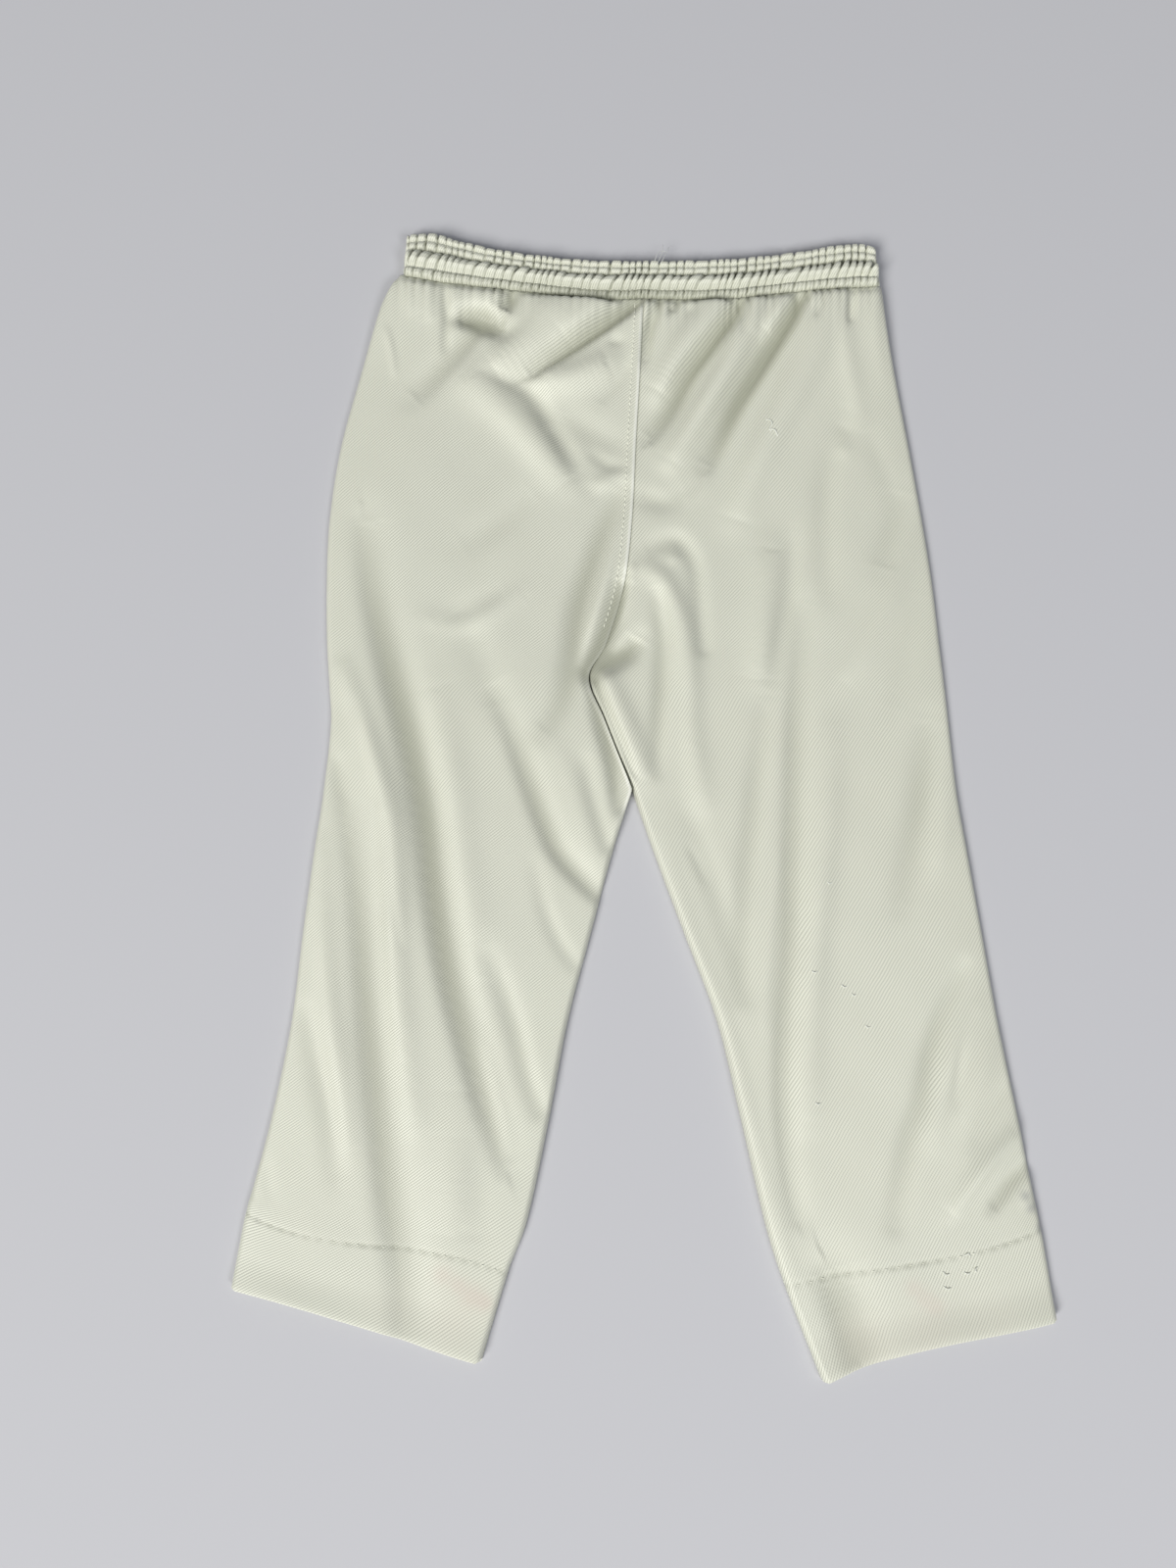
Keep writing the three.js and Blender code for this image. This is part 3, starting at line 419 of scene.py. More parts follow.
# rows: size, length and phase of a sine wave
GATHER_DRIFT = [(1.6, 8.3, 0.0), (1.12, 3.9, 1.3)]
PUCKER_CHANGES = [(0.25, 7.1, 0.4), (0.15, 3.3, 0.0)]


def waves(x, rows):
    """Sum of size * sin(x / length + phase), whose lengths never fit each other, so it doesn't repeat."""
    return sum(size * np.sin(x / length + phase) for size, length, phase in rows)


def gather_wave(x, slit, shift=0.0):
    """1 - 2 exp(-(sin(pi (x + drift + shift) / pitch) / slit)^2): flat tops at 1 and slits at -1. The drift
    makes some pleats twice as wide as others."""
    along_waist = x + waves(x, GATHER_DRIFT) + shift
    return 1 - 2 * np.exp(-(np.sin(np.pi * along_waist / GATHER_PITCH) / slit) ** 2)


def drawn_in(x):
    """How far the waist is drawn together: 1 near the middle, falling like exp(-(d / width)^2) both ways."""
    return np.exp(-((x - DRAWN_IN_AT) / DRAWN_IN_WIDTH) ** 2)


def pucker_strength(x):
    """How strongly each pleat pulls on the cloth, between 0.2 and 1, different from pleat to pleat."""
    return 0.6 + waves(x, PUCKER_CHANGES)


print("gathers along the back of the waist:", round(np.ptp(WAIST[:, WAIST_X]) / GATHER_PITCH))

# %% [markdown]
# ## How the upper layer lies
#
# The back panels lie on the front panels with some air between. The air under a point is small at a free
# side, like the edge of a pillow, and larger in the body of the leg, with more of it where the cloth comes
# full out of the casing. The creases and a very slight unevenness are added. The sum bends towards a least
# and a most value, so the layers never cut through each other.

# %% Unevenness, puckers and all the creases
CREASE_DEPTH = 1.4
PUCKER_REACH, PUCKER_SLIT = 8.0, 0.6
# rows: height, length across, length down the leg and phase of a crossed wave
UNEVENNESS = [(0.14, 17, 29, 0), (0.10, 11, -19, 2), (0.06, 7.3, 8.1, 4), (0.04, 4.1, -5.3, 1)]


def unevenness(x, y):
    """Crossed waves, each height * sin(x / across + y / down + phase): cloth is never quite level."""
    return sum(height * np.sin(x / across + y / down + phase) for height, across, down, phase in UNEVENNESS)


def pucker(x, below):
    """The gather wave where it runs on into the panel, fading below the casing."""
    return gather_wave(x, PUCKER_SLIT) * pucker_strength(x) * np.exp(-below / PUCKER_REACH)


def crease_relief(x, y):
    """All creases of both halves together, so that both panels agree along the seam between them."""
    return CREASE_DEPTH * sum(crease_height(x, y, crease) for crease in LEFT_CREASES + RIGHT_CREASES)


def below_casing(x, y):
    """How far a point lies below the waist seam, and 0 above it."""
    return np.clip(waist_at(SEAM_Y, x) - y, 0, None)


SEAT = np.meshgrid(np.linspace(-130, 120, 60), np.linspace(-120, 0, 30))
seat_relief = crease_relief(*SEAT)
print("relief on the seat, mm:", round(seat_relief.min(), 1), "to", round(seat_relief.max(), 1))

# %% Air under the upper layer
EDGE_AIR, INNER_AIR, BODY_AIR, WAIST_AIR = 1.5, 4.1, 4.6, 4.4
PILLOW, INNER_PILLOW, FULLNESS_REACH = 12.0, 7.0, 44.0
LEAST_AIR, MOST_AIR = 0.1, 14.0
PUCKER_HEIGHT = 2.0
HELD_AIR, HELD_REACH = 3.0, 2.8
SIDE_PUFF = 2.6


def soft_limit(air):
    """Bends towards both limits like tanh, and is unchanged midway between them."""
    middle, half = (MOST_AIR + LEAST_AIR) / 2, (MOST_AIR - LEAST_AIR) / 2
    return middle + half * np.tanh((air - middle) / half)


def air_under(x, y, from_outer, from_inner, fold, relief):
    """Air under a point that lies so far from the two sides. Each side and the casing add a share that falls
    like exp(-distance / reach), and fold is 1 where the inner side is free. Close under the casing its
    stitching holds the cloth down, more so in the middle than towards the ends."""
    outer_share, inner_share = np.exp(-from_outer / PILLOW), fold * np.exp(-from_inner / INNER_PILLOW)
    below = below_casing(x, y)
    held = np.exp(-(below / HELD_REACH) ** 2)
    air = BODY_AIR - (BODY_AIR - EDGE_AIR) * outer_share - (BODY_AIR - INNER_AIR) * inner_share
    air = air + WAIST_AIR * np.exp(-(below / FULLNESS_REACH) ** 2)
    air = air + unevenness(x, y) + relief
    air = air + (HELD_AIR + SIDE_PUFF * (1 - drawn_in(x)) - air) * held
    return soft_limit(air + PUCKER_HEIGHT * pucker(x, below) * (1 - held / 2))


side_and_body = air_under(np.zeros(2), np.full(2, -300.0), np.array([0.0, 70.0]), 70.0, 0, 0)
print("air at a free side and in the body of a leg, mm:", side_and_body.round(1).tolist())

# %% How much painted shade a point gets
# Painted shade: creases and the slits of puckers are painted darker where shade falls in them.
HOLLOW_DEPTH, PUCKER_SHADE = 9.0, 0.65


def painted_shade_of(x, y, relief):
    """Painted shade of a point, from how far down in a crease or a pucker it lies: 0 on open cloth, 1 at
    HOLLOW_DEPTH.
    """
    slit = np.clip(-pucker(x, below_casing(x, y)), 0, 1)
    return np.clip(smooth(-relief / HOLLOW_DEPTH) + PUCKER_SHADE * slit, 0, 1)


print("share of the seat in hollows:", round(float((painted_shade_of(*SEAT, seat_relief) > 0.1).mean()), 2))

# %% [markdown]
# ## Shells
#
# A shell of cloth has a skin, an inside and a rim. A single sheet with a Solidify modifier would give the
# wall, but not the edges that turn over. So the skin and the inside are two grids of the same size, and the
# rim is one strip of quads round the edge. The UV map is in metres of cloth, across and down the leg, so the
# weave follows each leg as it turns.

# %% Make a mesh from two grids
PLACE = np.array([SEAM_X, WAIST_Y, 0.0])


def new_piece(name, points, faces):
    """A smooth mesh from points in millimetres on the garment's own zero. The object stays at the origin."""
    mesh = bpy.data.meshes.new(name)
    mesh.from_pydata(((points + PLACE) * MM).tolist(), [], faces)
    mesh.polygons.foreach_set("use_smooth", np.ones(len(faces), bool))
    mesh.update()
    piece = bpy.data.objects.new(name, mesh)
    bpy.context.scene.collection.objects.link(piece)
    return piece


def cells(number):
    """The four corner numbers of every cell of a numbered grid."""
    corners = [number[:-1, :-1], number[1:, :-1], number[1:, 1:], number[:-1, 1:]]
    return np.stack(corners, -1).reshape(-1, 4)


def closed_shell(name, skin, inside, uv, turned, marks=None):
    """A closed mesh from two grids of points (rows, columns, 3): every cell a quad on both, and a strip of
    quads round the rim. turned swaps each quad's order, for a leg whose columns run the other way. Each of
    the marks is a name and a grid of numbers on the skin, kept as an attribute that the materials read."""
    rows, columns = skin.shape[:2]
    shift = rows * columns
    number = np.arange(shift).reshape(rows, columns)
    loop = np.concatenate([number[:, 0], number[-1, 1:], number[-2::-1, -1], number[0, -2:0:-1]])
    after = np.roll(loop, -1)
    rim = np.stack([loop, loop + shift, after + shift, after], -1)
    quads = np.concatenate([cells(number), cells(number + shift)[:, ::-1], rim])
    if turned:
        quads = quads[:, ::-1]
    piece = new_piece(name, np.concatenate([skin.reshape(-1, 3), inside.reshape(-1, 3)]), quads.tolist())
    layer = piece.data.uv_layers.new(name="cloth")
    flat = np.tile(uv.reshape(-1, 2) * MM, (2, 1))[quads.ravel()]
    layer.data.foreach_set("uv", flat.ravel().astype(np.float32))
    for mark, values in (marks or {}).items():
        both = np.zeros((2, rows, columns), np.float32)
        both[0] = values
        piece.data.attributes.new(mark, "FLOAT", "POINT").data.foreach_set("value", both.ravel())
    return piece


print("zero of the cloth in the frame, mm:", PLACE.round(2).tolist())

# %% [markdown]
# ## The two legs and their rows
#
# The legs differ in where the centre seam turns over into a free side and in how their hems lie. The rows of
# a panel stand closer together under the casing and at the hem, where the cloth bends more within a short
# way, and further apart down the leg.

# %% The legs, and the spacing of rows
PITCH_SAMPLES = 4000


def spaced_rows(sections, pitches):
    """Row numbers from waist to hem, and the distance down the middle of the leg to each. Their spacing is
    the pitch of each stretch: pitches lists the section where a stretch starts and the pitch in it."""
    at = np.linspace(0, LAST, PITCH_SAMPLES)
    x, y = plan(sections, 0.5, at)
    step = np.hypot(np.diff(x), np.diff(y))
    down = np.concatenate([[0], np.cumsum(step)])
    starts, pitch = zip(*pitches)
    local = np.array(pitch)[np.searchsorted(starts, at[:-1], side="right") - 1]
    rows = np.concatenate([[0], np.cumsum(step / local)])
    even = np.linspace(0, rows[-1], int(round(rows[-1])) + 1)
    return np.interp(even, rows, at), np.interp(even, rows, down)


# fold_from and fold_to are the sections where the centre seam turns over into a free side, hem_peek is how
# much of the lower hem peeps out and hem_curl how far the upper one curls up
LEGS = {
    "left": {"sections": LEFT_SECTIONS, "turned": False,
             "fold_from": SECTION_NAMES.index("strip_end"), "fold_to": SECTION_NAMES.index("upper_leg"),
             "hem_peek": 0.8, "hem_curl": 1.4},
    "right": {"sections": RIGHT_SECTIONS, "turned": True,
              "fold_from": SECTION_NAMES.index("rise_end"), "fold_to": SECTION_NAMES.index("crotch"),
              "hem_peek": 0.0, "hem_curl": 2.1},
}
print("legs:", list(LEGS))

# %% [markdown]
# ## The back panels
#
# These are what shows most. At a free side the cloth turns over towards the lower layer in a quarter curve.
# Along the centre seam the two panels meet edge to edge instead, each dipping a little into the seam. The
# hem is a folded edge, so it is thicker and its end is a rounded nose. A subdivided box that is sculpted by
# hand could look the same, but here every edge has its own formula, so it stays as wide as on real cloth.

# %% Widths and layers
FRONT_CLOTH, CLOTH, HEM_CLOTH, SEAM_GAP = 1.0, 1.1, 1.8, 0.3
HEM_STEP = 0.12


def fold_share(leg, at):
    """How far a shared seam has turned over into a free side: 0 at the seam, 1 at the fold."""
    return smooth((at - leg["fold_from"]) / (leg["fold_to"] - leg["fold_from"]))


def leg_width(sections, at):
    """Length of the straight row between the two sides."""
    (x0, y0), (x1, y1) = plan(sections, 0.0, at), plan(sections, 1.0, at)
    return np.hypot(x1 - x0, y1 - y0)


def layer_heights(at):
    """Height of the lower layer's top with the gap over it, and the thickness of the upper cloth. Both step
    up at the hem, where the cloth is doubled."""
    hem = smooth((at - HEM_STITCH) / HEM_STEP)
    return FRONT_CLOTH + (HEM_CLOTH - FRONT_CLOTH) * hem + SEAM_GAP, CLOTH + (HEM_CLOTH - CLOTH) * hem


print("legs at the knee, mm wide:",
      [round(float(leg_width(leg["sections"], SECTION_NAMES.index("knee"))), 1) for leg in LEGS.values()])

# %% Relief along the seam and the hem
SEAM_ROLL, SEAM_ROLL_WIDTH = 0.15, 0.5
SEAM_RIDGE, SEAM_RIDGE_AT, SEAM_RIDGE_WIDTH = 0.3, 1.3, 0.9
ALLOWANCE_RISE, ALLOWANCE_WIDTH, ALLOWANCE_SLOPE = 0.25, 5.5, 2.0
HEM_GROOVE, HEM_GROOVE_WIDTH = 0.35, 0.035
CURL_FROM, CURL_RAMP = HEM_STITCH + 0.5, 0.5


def seam_relief(leg, from_edge, at):
    """Along the centre seam both panels roll down a little into it, by a bell curve. On the left the seam
    allowance lies underneath and lifts the cloth as far as it reaches, and its edge is a fine ridge."""
    relief = -SEAM_ROLL * np.exp(-(from_edge / SEAM_ROLL_WIDTH) ** 2)
    if not leg["turned"]:
        ridge = SEAM_RIDGE * np.exp(-((from_edge - SEAM_RIDGE_AT) / SEAM_RIDGE_WIDTH) ** 2)
        half_slope = ALLOWANCE_SLOPE / 2
        lift = ALLOWANCE_RISE * smooth((ALLOWANCE_WIDTH + half_slope - from_edge) / ALLOWANCE_SLOPE)
        relief = relief + ridge + lift
    return relief * (1 - fold_share(leg, at))


def hem_groove(at, out):
    """The pull of the blind stitches along the hem, a bell curve across it, stronger at some stitches than
    at others: one wave is as long as a stitch and wanders, and the other comes and goes."""
    stitch, change = np.sin(out / 1.1 + 3 * np.sin(out / 23)), np.sin(out / 8.7) * np.sin(out / 31)
    return (0.55 + 0.3 * stitch + 0.35 * change) * np.exp(-((at - HEM_STITCH) / HEM_GROOVE_WIDTH) ** 2)


def hem_relief(leg, at, out):
    """The blind stitches draw a shallow groove. The folded edge curls up a little towards its end."""
    return -HEM_GROOVE * hem_groove(at, out) + leg["hem_curl"] * smooth((at - CURL_FROM) / CURL_RAMP)


print("the hems curl up, mm:", [round(float(hem_relief(leg, LAST, 0.0)), 1) for leg in LEGS.values()])

# %% Height of the skin
def skin_height(side, x, y, out, width, at, relief):
    """Height of the upper skin away from its rolled sides."""
    leg = LEGS[side]
    floor, cloth = layer_heights(at)
    air = air_under(x, y, out, width - out, fold_share(leg, at), relief)
    full = FRONT_CLOTH + SEAM_GAP + CLOTH + air + seam_relief(leg, width - out, at) + hem_relief(leg, at, out)
    return np.maximum(full, floor + cloth + LEAST_AIR)


def skin_point(side, from_inner, at):
    """A point on the upper skin at a distance from the inner side, for what is sewn on it."""
    sections = LEGS[side]["sections"]
    width = leg_width(sections, at)
    out = width - from_inner
    x, y = plan(sections, out / width, at)
    return np.stack([x, y, skin_height(side, x, y, out, width, at, crease_relief(x, y))], -1)


seat_point = skin_point("left", 80.0, np.full((1, 1), SECTION_NAMES.index("seat")))
print("a point in the middle of the left seat, mm:", seat_point.ravel().round(1).tolist())

# %% [markdown]
# ## Stains and smudges
#
# Worn trousers have a few faint pinkish stains near the hems, and small grey smudges at the outer sides. They
# could be painted on an image. As soft round spots they need only a place, a radius and a strength each,
# and they are kept as numbers on the points that they cover.

# %% Stains and smudges
# columns: x and y of the middle, radius, strength
STAINS = {
    "left": np.array([[-103.8, -515.4, 5.0, 1.0], [-96.0, -520.5, 4.0, 1.0], [-89.0, -526.0, 5.5, 1.0],
                      [-82.2, -529.4, 4.0, 1.0], [-100.0, -538.0, 15.0, 0.35], [-132.0, -532.0, 13.0, 0.2]]),
    "right": np.array([[134.2, -521.7, 4.0, 1.0], [140.0, -526.5, 4.5, 1.0], [145.5, -530.9, 4.0, 1.0],
                       [110.0, -549.0, 16.0, 0.4], [142.0, -541.0, 16.0, 0.4], [172.0, -536.0, 14.0, 0.25]]),
}
SMUDGES = {
    "left": np.array([[-198.6, -489.0, 2.0, 0.3]]),
    "right": np.array([[192.6, -477.0, 2.6, 1.0], [195.9, -482.9, 2.8, 1.0], [200.1, -492.6, 2.4, 1.0]]),
}


def spots(x, y, table):
    """Soft round spots: the sum of strength * exp(-(d / radius)^2), with d the distance to each middle."""
    middle_x, middle_y, radius, strength = table.T
    squared = (x[..., None] - middle_x) ** 2 + (y[..., None] - middle_y) ** 2
    return (strength * np.exp(-squared / radius ** 2)).sum(-1).clip(0, 1)


print("spots on the left and right leg:", [len(STAINS[side]) + len(SMUDGES[side]) for side in LEGS])

# %% [markdown]
# ## One back panel
#
# The columns of its grid run from the outer side to the inner one. Both sides start with a few columns that
# climb the turned edge, and the skin and the inside each follow their own curve there, so the wall keeps its
# thickness. Rows that swing round the hem's end close it.

# %% Columns across a back panel
EDGE_ROLL = 3.0
ROLL_STEPS, ROLL_SPACING = 6, 1.6
COLUMN_PITCH = 1.6
JOIN = 0.03


def turned_edge(angle, cloth, amount):
    """Reach of the skin and of the inside from the edge: 1 - cos on the roll's radius and on that radius less
    the cloth, blended with level spacing where the edge isn't turned over."""
    even = EDGE_ROLL * (angle / (np.pi / 2)) ** ROLL_SPACING
    out = even + (EDGE_ROLL * (1 - np.cos(angle)) - even) * amount
    within = even + (EDGE_ROLL - (EDGE_ROLL - cloth) * np.cos(angle) - even) * amount
    return out, within


def panel_columns(width, cloth, fold):
    """For every row, how far in the columns of the skin and of the inside lie, and how far up each of them
    has turned."""
    angle = np.linspace(0, np.pi / 2, ROLL_STEPS, endpoint=False)[None, :] + 0 * width
    join = JOIN + (SEAM_GAP / 2 - JOIN) * fold
    count = int(round(float(width.max()) / COLUMN_PITCH))
    middle = EDGE_ROLL + (width - 2 * EDGE_ROLL - join) * np.linspace(0, 1, count + 1)[None, :]
    outer = turned_edge(angle, cloth, 1.0)
    inner = turned_edge(angle[:, ::-1], cloth, fold)
    out, within = (np.concatenate([a, middle, width - join - b], 1) for a, b in zip(outer, inner))
    lift = np.concatenate([np.sin(angle), 1 + 0 * middle, 1 + (np.sin(angle[:, ::-1]) - 1) * fold], 1)
    return out, within, lift


print("columns in a roll, and over 150 mm of cloth:", ROLL_STEPS, round(150 / COLUMN_PITCH))

# %% Marks for the materials
# SEAM_SHADE is painted shade: a dark line painted along the seam's edge on the right panel.
SEAM_SHADE = 0.6
SEAM_LINE_AT, SEAM_LINE_WIDTH = 0.9, 0.7


def panel_marks(side, x, y, painted_shade, from_inner, fold):
    """A painted highlight along the pressed ridge on the left, where the allowance lies, and a painted shade
    line along the seam on the right.
    """
    # Where the painted highlight lies: a narrow band along the pressed ridge of the seam.
    pressed = np.exp(-((from_inner - SEAM_LINE_AT) / SEAM_LINE_WIDTH) ** 2) * (1 - fold)
    if LEGS[side]["turned"]:
        # A painted shade line along the seam's edge, added to the painted shade of the creases.
        painted_shade = painted_shade + SEAM_SHADE * np.exp(-(from_inner / SEAM_LINE_WIDTH) ** 2) * (1 - fold)
        pressed = 0 * pressed
    return {"painted_shade": painted_shade.clip(0, 1), "pressed": pressed,
            "stain": spots(x, y, STAINS[side]), "smudge": spots(x, y, SMUDGES[side])}


print("the seam's line is", 2 * SEAM_LINE_WIDTH, "mm wide")

# %% The rounded end of the hem
HEM_NOSE = 6


def add_nose(skin, inside, uv, marks):
    """Rounds the folded hem: extra rows swing from the skin and the inside towards the middle of the wall,
    on a half circle whose radius is half the wall, and stop just short of each other."""
    middle, half = (skin[-1] + inside[-1]) / 2, (skin[-1, :, 2] - inside[-1, :, 2]) / 2
    down = skin[-1, :, :2] - skin[-2, :, :2]
    down = down / np.linalg.norm(down, axis=1, keepdims=True)
    for k in range(1, HEM_NOSE):
        turn = math.pi / 2 * k / HEM_NOSE
        ahead = np.concatenate([down * (half * math.sin(turn))[:, None], 0 * half[:, None]], 1)
        up = np.stack([0 * half, 0 * half, half * math.cos(turn)], 1)
        skin = np.concatenate([skin, (middle + ahead + up)[None]])
        inside = np.concatenate([inside, (middle + ahead - up)[None]])
        uv = np.concatenate([uv, uv[-1:] + np.array([0, -1.0 * half.mean() / HEM_NOSE])])
        marks = {mark: np.concatenate([values, values[-1:]]) for mark, values in marks.items()}
    return skin, inside, uv, marks


print("rows round the hem's end:", 2 * (HEM_NOSE - 1))

# %% Build the back panels
ROW_PITCHES = [(0, 1.3), (SECTION_NAMES.index("side_kink"), 2.0), (HEM_STITCH - 0.3, 1.1),
               (HEM_STITCH + 0.4, 2.0)]
SIDE_HEIGHT = 2.5
PEEK_FROM, PEEK_RAMP = 0.4, 0.3
# STITCH_SHADE is painted shade along the hem's stitch groove.
STITCH_SHADE = 0.55


def back_panel(side):
    """Plan from the section tables, height from skin_height, and both carried round the turned edges."""
    leg = LEGS[side]
    sections = leg["sections"]
    at, down = spaced_rows(sections, ROW_PITCHES)
    at, down = at[:, None], down[:, None]
    width = leg_width(sections, at)
    floor, cloth = layer_heights(at)
    fold = fold_share(leg, at)
    out, within, lift = panel_columns(width, cloth, fold)
    x, y = plan(sections, out / width, at)
    x_in, y_in = plan(sections, within / width, at)
    relief = crease_relief(x, y)
    full = skin_height(side, x, y, out, width, at, relief)
    z = floor + (full - floor) * lift
    z_in = floor + (full - cloth - floor) * lift
    peek = leg["hem_peek"] * smooth(at - (LAST - 1)) * smooth((out / width - PEEK_FROM) / PEEK_RAMP)
    top = np.where(at == 0, JOIN, 0.0)
    skin = np.stack([x, y + peek - top, z], -1)
    inside = np.stack([x_in, y_in + peek - top, z_in], -1)
    from_middle = out - width / 2
    from_middle = from_middle + np.sign(from_middle) * SIDE_HEIGHT * (1 - lift)
    uv = np.stack([from_middle * (-1 if leg["turned"] else 1), -down + 0 * out], -1)
    # Painted shade of creases and puckers, plus painted shade along the hem's stitch groove.
    painted_shade = painted_shade_of(x, y, relief) + STITCH_SHADE * hem_groove(at, out)
    marks = panel_marks(side, x, y, painted_shade, width - out, fold)
    skin, inside, uv, marks = add_nose(skin, inside, uv, marks)
    return closed_shell(f"back_cloth_{side}", skin, inside, uv, leg["turned"], marks)


backs = {side: back_panel(side) for side in LEGS}
for side, piece in backs.items():
    print(piece.name, len(piece.data.polygons) * 2, "triangles")

# %% [markdown]
# ## The front panels
#
# They are the lower layer, pressed flat against the surface. Only their edges show, and the hem of the left
# one peeps out under the upper hem. So a plain flat shell with wide rows and rounded lower corners is
# enough, where a second creased panel would only cost triangles.

# %% Build a front panel
FRONT_PITCH = 3.0
CORNER_STEPS, LOWER_CORNER = 4, 0.6


def front_panel(side):
    """The same plan as the back panel, level on top, with quarter-round lower corners along both sides."""
    leg = LEGS[side]
    sections = leg["sections"]
    at, down = spaced_rows(sections, [(0, FRONT_PITCH)])
    at, down = at[:, None], down[:, None]
    width = leg_width(sections, at)
    cloth = layer_heights(at)[0] - SEAM_GAP
    angle = np.linspace(0, np.pi / 2, CORNER_STEPS, endpoint=False)[None, :]
    inset, lifted = LOWER_CORNER * (1 - np.cos(angle)), LOWER_CORNER * (1 - np.sin(angle))
    count = int(round(float(width.max()) / FRONT_PITCH))
    share = np.linspace(0, 1, count + 1)[None, :]
    middle = LOWER_CORNER + (width - 2 * LOWER_CORNER - JOIN) * share
    reach = np.concatenate([inset + 0 * at, middle, width - JOIN - inset[:, ::-1]], 1)
    raised = np.concatenate([lifted, 0 * share, lifted[:, ::-1]], 1)
    x, y = plan(sections, reach / width, at)
    skin = np.stack([x, y - np.where(at == 0, JOIN, 0.0), cloth + 0 * x], -1)
    under = np.stack([x, skin[..., 1], raised + 0 * x], -1)
    uv = np.stack([(reach - width / 2) * (-1 if leg["turned"] else 1), -down + 0 * reach], -1)
    return closed_shell(f"front_cloth_{side}", skin, under, uv, leg["turned"])


fronts = {side: front_panel(side) for side in LEGS}
for side, piece in fronts.items():
    print(piece.name, len(piece.data.polygons) * 2, "triangles")

# %% [markdown]
# ## The gathered casing
#
# Rows of stitching divide the casing into four channels with elastic in them. The two upper ones are narrow
# and rather flat, cut across by pinched slits. The third is the widest and stands up as a roll, with pleats
# that lean over. The last is a narrow flat one against the seam, which puffs up towards both ends of the
# waist. A cross-section in a table gives the channels, and the gather wave is added along the waist, so both
# can be changed on their own.

# %% The casing's cross-section
# columns: share down the casing, height, pleat height, lean of the pleats, how far they jut out, slit width
CASING_ROWS = np.array([
    [0.00, 1.8, 0.4, 0.0, 0.45, 0.35],
    [0.03, 4.6, 0.9, 0.0, 0.45, 0.35],
    [0.08, 6.4, 1.2, 0.1, 0.25, 0.32],
    [0.14, 6.7, 1.2, 0.2, 0.0, 0.30],
    [0.185, 5.9, 1.0, 0.2, 0.0, 0.30],
    [0.205, 5.2, 0.8, 0.2, 0.0, 0.30],
    [0.225, 5.8, 0.9, 0.3, 0.0, 0.30],
    [0.29, 6.4, 1.1, 0.4, 0.0, 0.32],
    [0.35, 5.9, 1.2, 0.5, 0.0, 0.36],
    [0.39, 4.1, 1.0, 0.6, -0.2, 0.40],
    [0.41, 3.3, 0.8, 0.8, 0.0, 0.45],
    [0.435, 4.9, 1.4, 1.2, 0.7, 0.60],
    [0.48, 7.2, 1.6, 1.9, 0.6, 0.55],
    [0.55, 9.0, 1.2, 2.8, 0.2, 0.45],
    [0.63, 9.5, 0.8, 3.7, 0.0, 0.40],
    [0.70, 8.4, 0.6, 4.4, 0.0, 0.36],
    [0.76, 5.9, 0.4, 4.9, 0.0, 0.32],
    [0.785, 4.4, 0.4, 5.1, 0.0, 0.32],
    [0.81, 5.0, 0.6, 5.3, 0.0, 0.32],
    [0.87, 5.5, 0.7, 5.6, 0.0, 0.30],
    [0.94, 5.2, 0.7, 5.9, 0.2, 0.32],
    [0.985, 4.2, 0.6, 6.1, 0.4, 0.36],
    [1.00, 3.1, 0.4, 6.2, 0.4, 0.40],
])
# columns: share down the casing, how much painted shade its stitched valley gets
STITCH_ROWS = np.array([[0.205, 0.3], [0.41, 0.8], [0.785, 0.45], [1.0, 0.1]])
LAST_CHANNEL = STITCH_ROWS[2, 0]
VALLEY_WIDTH = 0.022
PLEAT_GAIN = 1.2
FINE_RIPPLE, FINE_PITCH = 0.25, 2.3
# SLIT_LEVEL, RIPPLE_SHADE and DRAWN_IN_SHADE set the painted shade in the slits, in the ripple's troughs and
# across the drawn-in middle of the last channel.
SLIT_LEVEL, RIPPLE_SHADE, DRAWN_IN_SHADE = 0.15, 0.5, 0.5
PUFF_FROM, PUFF_RAMP = 0.71, 0.16


def pleat_strength(x, share):
    """How strongly each pleat stands up: 0.75, and two waves of which one drifts from row to row."""
    return 0.75 + 0.25 * np.sin(x / 3.1 + 9 * share) + 0.2 * np.sin(x / 9.7 + 2)


def casing_height(x, share):
    """Height of the skin over the casing's own base, how far its pleats jut out in plan, and the painted shade
    of each point: in the slits, in the troughs of the fine ripple, in the stitched valleys and across the
    drawn-in middle of the last channel. The height is the table's, plus the puff, the gather wave and a fine
    ripple in the last channel."""
    rows, *columns = CASING_ROWS.T
    height, pleat, lean, jut, slit = (np.interp(share, rows, column) for column in columns)
    last_channel = share > LAST_CHANNEL
    wave = gather_wave(x, slit, lean) * pleat_strength(x, share)
    ripple = FINE_RIPPLE * np.sin(2 * np.pi * (x + lean) / FINE_PITCH + np.sin(x / 5)) * last_channel
    puff = SIDE_PUFF * (1 - drawn_in(x)) * smooth((share - PUFF_FROM) / PUFF_RAMP)
    depth = np.clip(SLIT_LEVEL - wave, 0, 1) + RIPPLE_SHADE * np.clip(-ripple / FINE_RIPPLE, 0, 1) ** 2
    for row, shade in STITCH_ROWS:
        kept = drawn_in(x) if row > PUFF_FROM else 1
        depth = depth + shade * kept * np.exp(-((share - row) / VALLEY_WIDTH) ** 2)
    depth = depth + DRAWN_IN_SHADE * drawn_in(x) * last_channel
    return height + puff + PLEAT_GAIN * pleat * wave + ripple, jut * wave, np.clip(depth, 0, 1)


print("casing's rows:", len(CASING_ROWS), " highest, mm:", CASING_ROWS[:, 1].max())

# %% The casing's plan
CASING_ENDS = {"left": -131.5, "right": 129.0}
END_LEAN = 1.6
CASING_STEP = 0.45


